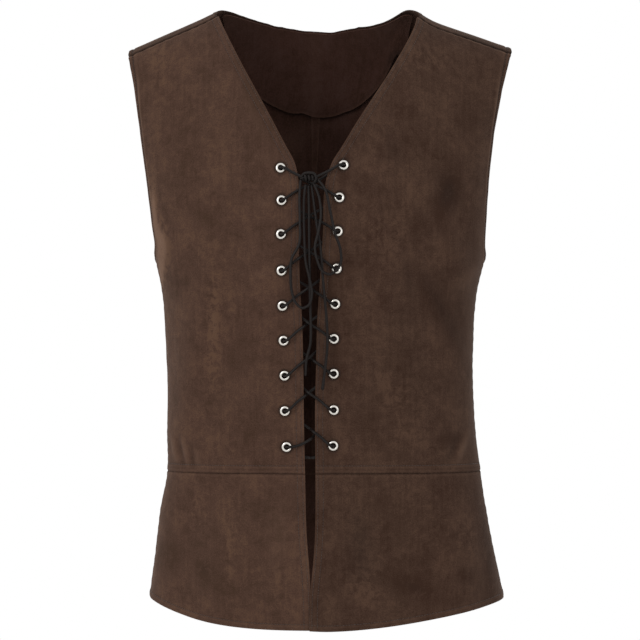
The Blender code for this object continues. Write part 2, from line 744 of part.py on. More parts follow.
def material(name, colour, roughness, metallic=0):
    """A plain surface of one colour."""
    made = bpy.data.materials.new(name)
    made.use_nodes = True
    surface = made.node_tree.nodes["Principled BSDF"]
    surface.inputs["Base Color"].default_value = colour
    surface.inputs["Roughness"].default_value = roughness
    surface.inputs["Metallic"].default_value = metallic
    made.diffuse_color = colour
    return made


def build():
    for old in list(bpy.data.objects):
        bpy.data.objects.remove(old)
    vest = bpy.data.collections.new("renaissance_vest")
    cutters = bpy.data.collections.new("cutters")
    for collection in (vest, cutters):
        bpy.context.scene.collection.children.link(collection)
    cutters.hide_render = True

    fronts = {}
    for side, label in ((-1, "right"), (1, "left")):
        suede = material(f"faux_suede_front_{label}", SUEDE, 0.9)
        fronts[side] = front_panel(side, f"front_{label}", suede, vest)
        suede = material(f"faux_suede_back_{label}", SUEDE, 0.9)
        panel(f"back_{label}", back_places(side), suede, vest)
        suede = material(f"faux_suede_skirt_{label}", SUEDE, 0.9)
        skirt_panel(
            f"skirt_front_{label}",
            -1,
            side,
            lambda q: front_edge_w(side, q),
            lambda q: shift_along(q, side_seam_w(side, q), SEAM_GAP / 2, -side),
            suede,
            vest,
            columns=11,
            lower=LEFT_HEM_LOWER if side > 0 else 0,
        )
    suede = material("faux_suede_skirt_back", SUEDE, 0.9)
    skirt_panel(
        "skirt_back",
        1,
        0,
        lambda q: shift_along(q, side_seam_w(-1, q), SEAM_GAP / 2, 1),
        lambda q: shift_along(q, side_seam_w(1, q), SEAM_GAP / 2, -1),
        suede,
        vest,
        columns=20,
    )
    neck_facing(material("faux_suede_facing", SUEDE_INSIDE, 0.9), vest)
    add_eyelets(fronts, material("nickel_plated_brass", NICKEL, 0.25, 1), vest, cutters)

    black = material("black_cord", BLACK_CORD, 0.8)
    for first_side, in_front, name in ((-1, 1, "lace_from_right"), (1, -1, "lace_from_left")):
        route, last_side = lacing_route(first_side, in_front)
        knot_side = KNOT[0] + last_side * (KNOT_HALF[0] + SEAM_GAP)
        start = route[-1]
        end = on_front(knot_side, KNOT[1], KNOT[2])
        middle = (start + end) / 2 + Vector((0, -KNOT_LEAD_OUT, 0))
        route += [middle, end]
        cord(name, smooth_route(route, LACING_STEP), black, vest)
    add_bow(black, vest)


build()
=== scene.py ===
"""A laced renaissance vest in brown faux suede, hollow as worn, in a pale studio.

The front faces -Y, +X is the wearer's left and +Z is up. Lengths are in millimetres, and MM turns
them to metres. A place on the cloth is (q, w): q runs over the shoulder like a tape, 0 on the ridge,
negative down the front and positive down the back, and q * q is the drop below the ridge. w is the
angle round the body from the centre, 90 degrees at the side. Side -1 is the wearer's right, 1 the left.
"""

import math

import bpy
import numpy as np
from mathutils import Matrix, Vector, geometry, kdtree, noise


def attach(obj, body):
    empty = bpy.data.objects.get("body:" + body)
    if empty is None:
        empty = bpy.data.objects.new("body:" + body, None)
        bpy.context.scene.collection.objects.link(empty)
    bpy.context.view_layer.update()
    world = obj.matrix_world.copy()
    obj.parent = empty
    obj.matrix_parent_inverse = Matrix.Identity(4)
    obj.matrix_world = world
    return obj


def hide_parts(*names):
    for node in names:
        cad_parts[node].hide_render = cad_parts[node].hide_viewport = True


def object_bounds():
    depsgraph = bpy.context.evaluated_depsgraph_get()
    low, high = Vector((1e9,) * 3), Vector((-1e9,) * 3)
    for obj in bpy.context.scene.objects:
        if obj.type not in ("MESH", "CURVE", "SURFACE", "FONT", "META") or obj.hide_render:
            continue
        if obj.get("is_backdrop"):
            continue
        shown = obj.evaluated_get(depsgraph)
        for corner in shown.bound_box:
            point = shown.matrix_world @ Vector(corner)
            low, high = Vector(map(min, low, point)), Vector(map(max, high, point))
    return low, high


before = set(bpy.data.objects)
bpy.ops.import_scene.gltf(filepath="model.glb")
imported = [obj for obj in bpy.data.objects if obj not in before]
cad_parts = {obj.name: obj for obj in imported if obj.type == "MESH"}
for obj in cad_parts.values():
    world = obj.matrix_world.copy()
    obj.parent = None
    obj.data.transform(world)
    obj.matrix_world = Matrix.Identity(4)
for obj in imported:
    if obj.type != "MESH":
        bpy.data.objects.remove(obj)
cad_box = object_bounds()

scene = bpy.context.scene
bpy.ops.object.select_all(action="DESELECT")


# The camera stands level with the middle of the vest, four metres in front of it, as the
# photographer of a clothes catalogue would, so that front and back show at nearly one scale.
CAMERA_AWAY = 4.0
CAMERA_HEIGHT = -0.3512
PIXELS_PER_METRE = 882.6
PICTURE_PIXELS = 640


def add_object(name, data):
    """A new object of the scene."""
    made = bpy.data.objects.new(name, data)
    scene.collection.objects.link(made)
    return made


view = bpy.data.cameras.new("camera")
view.sensor_width = 36
view.lens = 36 * CAMERA_AWAY * PIXELS_PER_METRE / PICTURE_PIXELS
view.clip_end = 30
camera = add_object("camera", view)
camera.location = (0, -CAMERA_AWAY, CAMERA_HEIGHT)
camera.rotation_euler = (math.radians(90), 0, 0)
scene.camera = camera
scene.view_settings.view_transform = "Standard"


# The studio is a pale floor of matt paper well below the hem, a bright even backdrop, and two soft
# boxes. The larger one stands to the left of the camera, and leaves the wearer's left side darker.
FLOOR_DROP = 0.62
FLOOR_SIZE = 5.0


def linear(code):
    """A colour for a shader from its sRGB hex value."""
    parts = [int(code[i : i + 2], 16) / 255 for i in (1, 3, 5)]
    return (*(c / 12.92 if c <= 0.04045 else ((c + 0.055) / 1.055) ** 2.4 for c in parts), 1.0)


def set_inputs(node, inputs):
    """Sets inputs of a node: each to a value, a hex colour, or a link from a socket or a node."""
    for key, value in inputs.items():
        if isinstance(value, str):
            value = linear(value)
        if isinstance(value, bpy.types.Node):
            value = value.outputs[0]
        if isinstance(value, bpy.types.NodeSocket):
            node.id_data.links.new(value, node.inputs[key])
        else:
            node.inputs[key].default_value = value


def add_node(tree, kind, inputs, **settings):
    """Adds a node with its settings and inputs."""
    added = tree.nodes.new("ShaderNode" + kind)
    for key, value in settings.items():
        setattr(added, key, value)
    set_inputs(added, inputs)
    return added


def new_material(name):
    """A new material with its node tree and its Principled shader."""
    made = bpy.data.materials.new(name)
    made.use_nodes = True
    return made, made.node_tree, made.node_tree.nodes["Principled BSDF"]


paper, _, surface = new_material("matt_white_studio_paper")
set_inputs(surface, {"Base Color": "#e9e8e6", "Roughness": 0.9})
bpy.ops.mesh.primitive_plane_add(size=FLOOR_SIZE, location=(0, 0, cad_box[0][2] - FLOOR_DROP))
floor = bpy.context.object
floor.name = "floor"
floor.data.materials.append(paper)
floor.select_set(False)
floor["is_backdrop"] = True

scene.world = bpy.data.worlds.new("studio")
scene.world.use_nodes = True
set_inputs(scene.world.node_tree.nodes["Background"], {"Color": "#ffffff", "Strength": 1.0})

for name, place, size, watts in (
    ("soft_box_left", (-2.6, -3.0, 1.3), 1.6, 60),
    ("soft_box_right", (2.4, -3.4, 0.6), 1.8, 12),
):
    light = bpy.data.lights.new(name, "AREA")
    light.size = size
    light.energy = watts
    stand = add_object(name, light)
    stand.location = place
    aim = Vector((0, 0, CAMERA_HEIGHT)) - stand.location
    stand.rotation_euler = aim.to_track_quat("-Z", "Y").to_euler()


# The two upper fronts are cut from faux suede, a polyester microfibre with a short brushed nap,
# about 1.6 mm thick where it is turned and stitched. The body form below is the shape that the
# worn vest holds, from its sections, and every panel, cord and eyelet of the vest lies on it.
MM = 0.001
SIDES = ((-1, "right"), (1, "left"))
WALL = 1.6
SEAM_GAP = 0.3
NECK_POINT = {-1: 112, 1: 104.8}
NECK_LIFT = {-1: 1.5, 1: 6.0}
NECK_LIFT_REACH = 17
SHOULDER_HALF_WIDTH = 216
SHOULDER_FALL = {-1: 46.5, 1: 43.5}
SHOULDER_SEAM_DROP = 8.2
UNDERARM_DROP = 281
ARMHOLE_ROUND = 72
ARMHOLE_FRONT_REACH = 44
ARMHOLE_BACK_REACH = 50
ARMHOLE_RIDGE_SHARE = 0.75
SIDE_SEAM_FORWARD = 12
WAIST_DROP = 521
HEM_DROP = 692.6
CENTRE_SHIFT = -10
RIDGE_FADE_DROP = 300
RIDGE_CROWN = 60
OVER_SHOULDER_DROP = 100

# Body sections from the shoulder ridge down: drop, half width, depth to the front and to the back,
# squareness of the ring, and how far its centre lies towards +X
ring_drop, ring_half, ring_front, ring_back, ring_square, ring_shift = np.array((
    (0, 223, 0, 0, 6.0, 0), (6, 223, 24, 24, 5.8, 0), (20, 219, 42, 44, 5.2, -0.8),
    (50, 212, 62, 70, 4.4, -1.6), (100, 205, 84, 95, 3.6, -2.8), (160, 198, 103, 110, 3.1, -2.8),
    (220, 193, 116, 116, 2.8, -1.7), (281, 185.5, 122, 115, 2.6, 0), (329, 177, 121, 108, 2.5, -0.8),
    (380, 173.7, 115, 100, 2.5, -0.6), (430, 172.9, 110, 95, 2.5, 0.2), (481, 174.8, 107, 96, 2.5, 1.7),
    (521, 177, 106, 99, 2.5, 4.2), (566, 184.4, 110, 105, 2.5, 3.6), (617, 192.3, 116, 112, 2.5, 5.6),
    (665, 200.4, 121, 117, 2.5, 7.4), (712, 206.4, 125, 121, 2.5, 7.4),
)).T

# The front edges from the shoulder down: height, and X of the edge on the right and the left front
edge_z, edge_right, edge_left = np.array((
    (0, -118, 112), (-20, -109.5, 106.5), (-63, -88.5, 84.5), (-105, -66, 58.2), (-130, -52.6, 42),
    (-160, -37, 24), (-176, -28.5, 14), (-190, -24.8, 8.5), (-210, -23.1, 4.8), (-250, -23.1, 3.4),
    (-307, -22.3, 0), (-350, -19.9, -3), (-395, -18.5, -4.2), (-460, -17.8, -5.5), (-520, -16.5, -5),
    (-590, -14.6, -5.6), (-620, -12.4, -7.4), (-655, -11, -9.8), (-700, -10.4, -9.8),
))[::-1].T

# Folds and creases of the worn cloth, -1 in front and 1 behind: X and Z of the two ends of each,
# width and height, where a minus height is a trough. The widest ones are in the solids too.
FOLDS = {
    -1: (
        (-118, -260, -150, -500, 20, 4.0), (-88, -215, -96, -400, 24, -3.5),
        (-172, -300, -166, -500, 15, -2.5), (140, -250, 158, -320, 16, 3.5),
        (92, -250, 132, -470, 24, -4.0), (60, -330, 52, -440, 26, 2.5), (-92, -560, -104, -700, 26, 3.5),
        (-140, -540, -158, -700, 22, -3.0), (92, -540, 108, -700, 28, -3.0),
        (142, -560, 162, -700, 22, 3.5),
    ),
    1: (
        (-45, -400, -30, -560, 22, 3.5), (50, -380, 40, -560, 24, 3.0), (-110, -330, -85, -500, 24, -3.5),
        (112, -320, 95, -520, 24, -3.5), (-85, -560, -100, -700, 26, 4.0), (80, -560, 98, -700, 26, 4.0),
        (0, -560, 0, -700, 28, -3.0),
    ),
}
CREASES = {
    -1: (
        (-168, -474, -158, -515, 3.2, 1.7), (-160, -478, -151, -516, 2.6, -1.4),
        (-153, -480, -146, -517, 2.8, 1.5), (-146, -486, -139, -518, 2.6, -1.2),
        (-138, -492, -133, -518, 3.0, 1.0), (-176, -296, -128, -330, 5.0, -0.5),
        (-183, -248, -170, -272, 2.6, 1.1), (178, -292, 146, -318, 6.0, 0.7),
        (108, -290, 168, -392, 8.0, -1.3), (92, -274, 106, -332, 6.0, -0.8),
        (138, -180, 150, -238, 11.0, -1.3), (168, -470, 150, -516, 4.0, 1.4),
        (156, -476, 140, -516, 4.5, -1.2), (-90, -90, -52, -168, 5.0, 0.3),
        (-187, -200, -181, -262, 4.0, 1.2), (-180, -262, -178, -312, 4.0, 1.4),
        (64, -100, 92, -200, 10.0, -0.8), (-48, -180, -74, -168, 5.0, 0.4),
        (-48, -221, -80, -226, 5.0, 0.4), (-46, -297, -78, -304, 5.0, 0.4), (30, -181, 58, -172, 5.0, 0.4),
        (26, -217, 60, -224, 5.0, 0.4), (22, -295, 54, -302, 5.0, 0.4), (-40, -545, -52, -640, 12.0, 0.5),
        (40, -548, 50, -650, 13.0, -1.5),
    ),
    1: (
        (-150, -300, -120, -345, 7.0, -2.1), (152, -296, 118, -338, 7.0, -2.0),
        (-20, -120, -60, -210, 14.0, 0.9), (24, -124, 58, -220, 14.0, -1.8),
        (-140, -470, -128, -516, 4.0, 1.5), (144, -472, 130, -516, 4.0, 1.5),
        (-128, -478, -118, -516, 4.0, -1.2), (130, -478, 118, -516, 4.0, -1.2),
    ),
}

# Patches of tone, -1 in front and 1 behind: X and Z, half width and height, lean in degrees, and tone, where
# minus is darker. The long dark ones down the wearer's left side and the one beside the wearer's right V edge
# are painted shade. The strong pale ones by the wearer's right underarm are painted highlight. The others
# make the cloth lighter or darker in patches.
TONE_AND_PAINTED_LIGHT_MARKS = {
    -1: (
        (144, -207, 12, 23, -8, -1.3), (97, -303, 5, 25, 14, -0.6), (128, -335, 8, 46, 28, -0.8),
        (159, -343, 8, 21, 4, -0.7), (105, -246, 5, 14, -6, -0.5), (76, -257, 22, 26, 0, 0.35),
        (121, -57, 18, 15, 0, 0.4), (128, -83, 10, 6, -20, -0.4), (166, -132, 11, 20, 0, -0.35),
        (83, -434, 15, 17, 0, 0.45), (104, -478, 20, 12, 0, 0.3), (60, -457, 6, 8, 0, -0.5),
        (45, -472, 8, 7, 0, -0.4), (144, -484, 22, 6, 0, -0.5), (68, -552, 9, 9, 0, -0.6),
        (105, -646, 27, 11, -24, -1.3), (159, -634, 10, 8, 0, -1.1), (91, -586, 9, 13, 20, -0.4),
        (49, -638, 14, 17, 0, 0.45), (23, -660, 8, 10, 0, -0.4), (166, -586, 10, 20, 0, 0.35),
        (-117, -363, 5, 56, 0, 1.25), (-98, -340, 4, 24, 6, 0.35), (-181, -57, 12, 30, 10, 0.35),
        (-57, -118, 15, 68, 27, -0.85), (-136, -238, 16, 10, 0, -0.35), (-184, -232, 3, 34, 5, 2.2),
        (-176, -264, 6, 20, 8, 2.3), (-177, -296, 4, 20, -3, 2.3), (178, -410, 7, 110, 2, -1.2),
        (188, -610, 8, 70, 8, -1.5), (133, -224, 8, 18, 0, -0.8), (138, -262, 5, 16, 0, -0.4),
        (-91, -389, 12, 30, 0, -0.35), (-128, -626, 12, 17, 12, -1.25), (-170, -615, 14, 19, 0, -0.9),
        (-99, -604, 3.5, 30, 0, 0.5), (-136, -563, 8, 20, 0, 0.4), (-117, -572, 3.5, 22, 8, -0.5),
        (-45, -646, 15, 20, 0, 0.2), (-31, -540, 9, 12, 0, -0.3),
    ),
    1: (
        (-110, -190, 20, 34, 12, -0.6), (96, -250, 9, 48, -16, -0.7), (60, -120, 24, 18, 0, 0.45),
        (-60, -350, 8, 46, 6, 0.6), (130, -420, 18, 22, 0, 0.4), (-124, -610, 24, 14, 20, -0.8),
        (88, -630, 22, 16, -18, -0.7), (20, -580, 12, 30, 0, 0.4),
    ),
}
FOLDLESS_SIDE = 50
FOLDLESS_CENTRE = 45
CREASELESS_CENTRE = 12


def ease(d, start, end):
    """A soft step from 1 to 0 between two distances."""
    t = np.clip((d - start) / (end - start), 0, 1)
    return 1 - t * t * (3 - 2 * t)


def bump(d, centre, width):
    """A soft ridge of height 1 across a distance."""
    return np.exp(-(((d - centre) / width) ** 2))


def unit(vectors):
    """The same directions, each one long."""
    return vectors / np.linalg.norm(vectors, axis=-1, keepdims=True)


def smooth_curve(knots, values):
    """A smooth curve through a table's rows, each tangent taken from its two neighbours."""
    slopes = np.gradient(values, knots)

    def at(place):
        low = np.clip(np.searchsorted(knots, place, side="right") - 1, 0, len(knots) - 2)
        span = knots[low + 1] - knots[low]
        t = np.clip((place - knots[low]) / span, 0, 1)
        from_low = values[low] * ease(t, 0, 1) + slopes[low] * span * t * (1 - t) * (1 - t)
        return from_low + values[low + 1] * (1 - ease(t, 0, 1)) + slopes[low + 1] * span * t * t * (t - 1)

    return at


ring_q = np.sqrt(ring_drop)
half_width_at = smooth_curve(ring_q, ring_half)
square_at = smooth_curve(ring_q, ring_square)
shift_at = smooth_curve(ring_q, ring_shift)
depth_at = smooth_curve(
    np.concatenate([-ring_q[:0:-1], ring_q]), np.concatenate([-ring_front[:0:-1], ring_back])
)
edge_at = {-1: smooth_curve(edge_z, edge_right), 1: smooth_curve(edge_z, edge_left)}


def ridge_share(q):
    """How much of the shoulder ridge's slope is left at q."""
    return ease(q * q, 0, RIDGE_FADE_DROP)


def ridge_height(x):
    """Height of the shoulder ridge: an even fall from each neck point, which stands up a little."""
    to_left = np.clip((x + RIDGE_CROWN) / (2 * RIDGE_CROWN), 0, 1)
    neck_x, fall, lift = (
        pair[-1] + (pair[1] - pair[-1]) * to_left for pair in (NECK_POINT, SHOULDER_FALL, NECK_LIFT)
    )
    neck = np.hypot(neck_x, RIDGE_CROWN)
    beyond = (np.hypot(x, RIDGE_CROWN) - neck) / (math.hypot(SHOULDER_HALF_WIDTH, RIDGE_CROWN) - neck)
    return lift * bump(np.abs(x), neck_x, NECK_LIFT_REACH) - lift - (fall - lift) * beyond


def form_point(q, w):
    """The smooth body form at arrays of (q, w). Past the side, a place goes on over the other half."""
    past = np.abs(w) > math.pi / 2
    q = np.where(past, -q, q)
    w = np.where(past, np.sign(w) * math.pi - w, w)
    far = np.abs(q)
    power = 2 / square_at(far)
    x = shift_at(far) + half_width_at(far) * np.sign(w) * np.abs(np.sin(w)) ** power
    y = depth_at(q) * np.abs(np.cos(w)) ** power
    return np.stack([x, y, ridge_height(x) * ridge_share(q) - q * q], axis=-1)


def outward(q, w):
    """The form's outward direction at arrays of (q, w)."""
    step_w, step_q = 0.004, 0.02
    along_w = form_point(q, w + step_w) - form_point(q, w - step_w)
    along_q = form_point(q + step_q, w) - form_point(q - step_q, w)
    normal = unit(np.cross(along_w, along_q))
    point = form_point(q, w)
    over = np.maximum(0, 1 - q * q / OVER_SHOULDER_DROP)
    from_inside = np.stack([point[..., 0] * (1 - 0.7 * over), point[..., 1], RIDGE_CROWN * over], axis=-1)
    return normal * np.sign((normal * from_inside).sum(-1, keepdims=True))


def fold_height(points, folds, calm_centre):
    """How far a table's folds raise the cloth at points of the body form."""
    x, y, z = np.moveaxis(points, -1, 0)
    height = np.zeros(x.shape)
    for way, rows in folds.items():
        for x_top, z_top, x_bottom, z_bottom, width, rise in rows:
            run_x, run_z = x_bottom - x_top, z_bottom - z_top
            length = math.hypot(run_x, run_z)
            along = ((x - x_top) * run_x + (z - z_top) * run_z) / length**2
            beside = ((x - x_top) * run_z - (z - z_top) * run_x) / length
            inside = np.clip(along, 0, 1)
            ends = np.minimum(1, 4 * inside) if z_bottom <= -HEM_DROP else np.sin(math.pi * inside)
            on_fold = ((y < 0) == (way < 0)) & (along > 0) & (along < 1)
            height += np.where(on_fold, rise * ends * bump(beside, 0, width), 0)
    side_calm = np.minimum(1, np.abs(y) / FOLDLESS_SIDE)
    return height * side_calm * np.minimum(1, np.abs(x - CENTRE_SHIFT) / calm_centre)


def unevenness(points):
    """A soft unevenness of the worn cloth at points of the body form, less at the shoulders."""
    uneven = [
        0.6 * noise.noise(Vector(p) / 38) + 0.32 * noise.noise(Vector(p) / 15) for p in points.reshape(-1, 3)
    ]
    return np.array(uneven).reshape(points.shape[:-1]) * np.clip(-points[..., 2] / 90, 0.12, 1)


def tone_and_painted_light(points):
    """How much the marks make the cloth lighter, or with a minus darker, at points of the body form: patches
    of tone, painted highlight and painted shade.
    """
    x, y, z = np.moveaxis(points, -1, 0)
    tone = np.zeros(x.shape)
    for way, rows in TONE_AND_PAINTED_LIGHT_MARKS.items():
        for mark_x, mark_z, half_width, half_height, lean, strength in rows:
            cos, sin = math.cos(math.radians(lean)), math.sin(math.radians(lean))
            across = ((x - mark_x) * cos + (z - mark_z) * sin) / half_width
            along = ((z - mark_z) * cos - (x - mark_x) * sin) / half_height
            tone += np.where((y < 0) == (way < 0), strength * np.exp(-(across**2) - along**2), 0)
    return tone


def cloth_point(q, w, out=0.0):
    """Points on the solids' outer face, with the wide folds alone, moved out by a distance."""
    q, w = np.asarray(q, float), np.asarray(w, float)
    base = form_point(q, w)
    raised = fold_height(base, FOLDS, FOLDLESS_CENTRE) + out
    return base + outward(q, w) * raised[..., None]


def q_at_height(x, z, side):
    """The q whose place at this X lies at this height."""
    drop = -z
    for _ in range(8):
        drop = ridge_height(x) * ridge_share(np.sqrt(np.maximum(drop, 0))) - z
    return side * np.sqrt(np.maximum(drop, 0))


def w_at_x(q, x):
    """The angle round the ring at q where the cloth crosses this X."""
    far = np.abs(q)
    share = (x - shift_at(far)) / half_width_at(far)
    return np.sign(share) * np.arcsin(np.minimum(np.abs(share), 1) ** (square_at(far) / 2))


def front_place(x, z):
    """(q, w) of the front's place at this X and height."""
    q = q_at_height(x, z, -1)
    return q, w_at_x(q, x)


def on_front(x, z, out=0.0):
    """A point on the front at this X and height, moved out by the given distance."""
    return Vector(cloth_point(*front_place(x, z), out))


def front_edge_w(side, q):
    """The angle of a front's lacing edge at q."""
    x = np.full_like(q, CENTRE_SHIFT)
    for _ in range(8):
        x = edge_at[side](ridge_height(x) * ridge_share(q) - q * q)
    return w_at_x(q, x)


def armhole_w(side, q):
    """The angle of the armhole's edge at q: the shoulder tip on top, an oval below it."""
    in_front = q < 0
    reach = np.where(in_front, ARMHOLE_FRONT_REACH, ARMHOLE_BACK_REACH)
    forward = np.where(in_front, -SIDE_SEAM_FORWARD, SIDE_SEAM_FORWARD)
    into_round = np.maximum(0, q * q - (UNDERARM_DROP - ARMHOLE_ROUND)) / ARMHOLE_ROUND
    oval = (reach + forward) * np.sqrt(np.maximum(0, 1 - into_round**2)) - forward
    over = oval <= 0
    depth = np.abs(depth_at(q))
    wide = ARMHOLE_RIDGE_SHARE * depth + 1e-6
    blend = (wide**-3 + np.where(over, 1, oval) ** -3) ** (-1 / 3)
    share = np.minimum(blend / (depth + 1e-6), ARMHOLE_RIDGE_SHARE)
    share = np.where(over, np.minimum(-oval / np.abs(depth_at(-q)), 1), share)
    w = np.arccos(np.clip(share, 0, 1) ** (square_at(np.abs(q)) / 2))
    return side * np.where(over, math.pi - w, w)


def shift_along(q, w, distance, sign):
    """The angle moved round the ring by a distance in millimetres."""
    step = 0.01
    per_angle = np.linalg.norm(form_point(q, w + step) - form_point(q, w - step), axis=-1) / (2 * step)
    return w + sign * distance / per_angle


def side_seam_w(side, q, gap=SEAM_GAP / 2):
    """The angle of a panel's edge at the side seam, a little forward of the widest place."""
    share = np.minimum(SIDE_SEAM_FORWARD / (np.abs(depth_at(-np.abs(q))) + 1e-6), 1)
    w = np.arccos(share ** (square_at(np.abs(q)) / 2))
    return shift_along(q, side * np.where(q < 0, w, math.pi - w), gap, -side)


def outer_w(side, q):
    """The angle of a panel's outer edge: the armhole above the underarm, the side seam below it."""
    return np.where(q * q < UNDERARM_DROP, armhole_w(side, q), side_seam_w(side, q))


def run_lengths(points, axis=0):
    """Lengths from the first point on, along rows of points."""
    steps = np.linalg.norm(np.diff(points, axis=axis), axis=-1)
    start = np.zeros_like(np.take(steps, [0], axis=axis))
    return np.concatenate([start, np.cumsum(steps, axis=axis)], axis=axis)


def points_at(line, runs, places):
    """Points along a line, at given lengths from its start."""
    return np.stack([np.interp(places, runs, line[:, axis]) for axis in range(3)], axis=-1)


def along_ring(q, w_from, w_to, share, samples=61):
    """The angles a given share of the way round the ring between two angles, by length of cloth."""
    q, w_from, w_to, share = np.broadcast_arrays(q, w_from, w_to, share)
    shape = q.shape
    q, w_from, w_to, share = (np.ravel(a) for a in (q, w_from, w_to, share))
    angles = w_from[:, None] + (w_to - w_from)[:, None] * np.linspace(0, 1, samples)
    lengths = run_lengths(form_point(q[:, None], angles), axis=1)
    wanted = share * lengths[:, -1]
    low = np.clip((lengths <= wanted[:, None]).sum(1) - 1, 0, samples - 2)
    row = np.arange(len(q))
    t = (wanted - lengths[row, low]) / (lengths[row, low + 1] - lengths[row, low])
    return (angles[row, low] + (angles[row, low + 1] - angles[row, low]) * t).reshape(shape)


EDGE_STEPS = np.array((0, 0.6, 1.2, 1.9, 2.6, 3.4, 4.3, 5.2, 6.1, 7.0, 7.9, 8.8, 9.8, 11, 12.5, 14.5))
CLOTH_STEP = 2.8
TAPE_ANGLE = 0.9


def cloth_shares(length):
    """Shares along a length of cloth, about CLOTH_STEP apart, and closer at its two ends."""
    count = max(2, round((length - 2 * EDGE_STEPS[-1]) / CLOTH_STEP))
    middle = np.linspace(EDGE_STEPS[-1], length - EDGE_STEPS[-1], count + 1)[1:-1]
    return np.concatenate([EDGE_STEPS, middle, length - EDGE_STEPS[::-1]]) / length


def upper_rows(q_from, q_to):
    """q of an upper panel's rows, closer together at both seams and round the underarm."""
    samples = np.linspace(q_from, q_to, 900)
    lengths = run_lengths(form_point(samples, np.full_like(samples, TAPE_ANGLE)))
    rows = np.interp(cloth_shares(lengths[-1]) * lengths[-1], lengths, samples)
    turns = np.linspace(0, math.pi / 2, 24)
    round_part = np.copysign(np.sqrt(UNDERARM_DROP - ARMHOLE_ROUND * (1 - np.cos(turns))), q_from)
    rows = np.sort(np.concatenate([rows, round_part]))
    return rows if q_from < q_to else rows[::-1]


# How each kind of edge is worked: its height over the cloth, how much paler it is painted, as rubbed wear and
# painted highlight, and how much darker, as painted shade, at a distance d in from the edge and s along it
TURNED_ROUND = 1.7
PUCKER = 9.0


def rim(d):
    """How far the cloth rolls over at a turned edge, from 1 at the rim to 0."""
    return 1 - np.sqrt(1 - np.clip(1 - d / TURNED_ROUND, 0, 1) ** 2)


def pull(s, length, sway, reach):
    """How much the stitches pull the cloth together along an edge, from 0 to 1."""
    return 0.5 + 0.5 * np.sin(2 * math.pi * s / length + sway * np.sin(s / reach))


def turned_edge(d, s):
    """An edge turned in and stitched down twice: a rolled rim, a double band, two stitch grooves. The rim and
    the band are painted paler, as rubbed wear and painted highlight, and the grooves darker as painted shade.
    """
    height = 0.4 * ease(d, 8.2, 11) - 0.6 * rim(d) - 0.24 * bump(d, 8.5, 1.0)
    height += 0.12 * pull(s, PUCKER, 1.7, 31) * bump(d, 5.8, 1.8) - 0.12 * bump(d, 3.0, 0.8)
    rubbed_and_painted_highlight = 0.18 * np.exp(-d / 1.2) + 0.07 * bump(d, 5.9, 1.5)
    return height, rubbed_and_painted_highlight, 0.2 * bump(d, 8.7, 0.9) + 0.14 * bump(d, 3.0, 0.7)


def armhole_edge(d, s):
    """An edge turned in and stitched once, 5 mm in, that draws the cloth beyond it up in a soft, uneven
    ridge. It stands out in a small lip where it leaves the underarm. Its rim and stitch groove are painted
    dark as shade, and the ridge paler as painted highlight."""
    swell = 0.6 + 0.4 * np.sin(s / 19 + 1.8 * np.sin(s / 41))
    height = 0.3 * ease(d, 5.0, 6.4) - 0.6 * rim(d) - 0.8 * bump(d, 5.3, 1.1)
    height += 0.14 * pull(s, PUCKER, 1.3, 23) * bump(d, 3.0, 1.6) + 0.7 * swell * bump(d, 10, 3.2)
    height += 1.6 * bump(s, 13, 9) * ease(d, 3, 9)
    rubbed_and_painted_highlight = 0.5 * swell * bump(d, 8.8, 2.0) + 0.2 * bump(d, 2.8, 0.9)
    return height, rubbed_and_painted_highlight, 0.9 * np.exp(-d / 1.1) + 0.8 * bump(d, 5.2, 0.9)


def neck_edge(d, s):
    """The back neck's edge, turned in and stitched, whose rim lies in its own shade."""
    return 0.3 * ease(d, 5.0, 7.2) - 0.6 * rim(d), 0 * d, 0.8 * np.exp(-d / 1.6) + 0.3 * bump(d, 5.2, 0.9)


def hem_edge(d, s):
    """A hem turned up once and stitched 6.5 mm above the fold. The fold is painted paler, as rubbed wear and
    painted highlight, and the stitch groove darker as painted shade.
    """
    height = 0.4 * ease(d, 6.4, 8.6) - 0.6 * rim(d) - 0.3 * bump(d, 6.5, 0.9)
    height += 0.12 * pull(s, 10, 1.6, 33) * bump(d, 4, 2)
    return height, 0.2 * np.exp(-d / 1.4) + 0.15 * bump(d, 4.8, 1.2), 0.3 * bump(d, 6.7, 0.8)


def plain_seam(d, s):
    """A plain seam: the cloth rolls down into it and draws into small puckers. The seam line is painted
    darker as shade, and the roll beside it paler as painted highlight.
    """
    pucker = 2 * pull(s, 11, 2.1, 37) - 1
    height = 0.2 * pucker * bump(d, 0, 6) - 0.6 * bump(d, 0, 0.9)
    return height, 0.14 * bump(d, 2.4, 1.0), (0.5 + 0.15 * pucker) * np.exp(-d / 0.7)


def centre_seam(d, s):
    """The centre back seam, from the neck down: flat where the neck's edge is turned over it."""
    height, rubbed_and_painted_highlight, shaded = plain_seam(d, s)
    return height * (1 - ease(s, 4, 16)), rubbed_and_painted_highlight, shaded


def topstitched_seam(d, s):
    """A seam whose allowance is pressed up and stitched down 8.6 mm above it. Its shade is weak
    beside the front edge, where the turned edge lies over it, and toward the side."""
    height, rubbed_and_painted_highlight, shaded = plain_seam(d, s)
    height = height * (1 - 0.8 * ease(s, 6.5, 9)) + 0.12 * pull(s, PUCKER, 1.9, 29) * bump(d, 5, 2)
    height += 0.3 * ease(d, 8.2, 10.6) - 0.26 * bump(d, 8.6, 0.9)
    deep = (1 - 0.7 * ease(s, 6.5, 9)) * (1 - 0.55 * (1 - ease(s, 105, 140)))
    return height, rubbed_and_painted_highlight + 0.15 * bump(d, 6.8, 1.2), 1.6 * shaded * deep + 0.3 * bump(d, 8.8, 0.9)


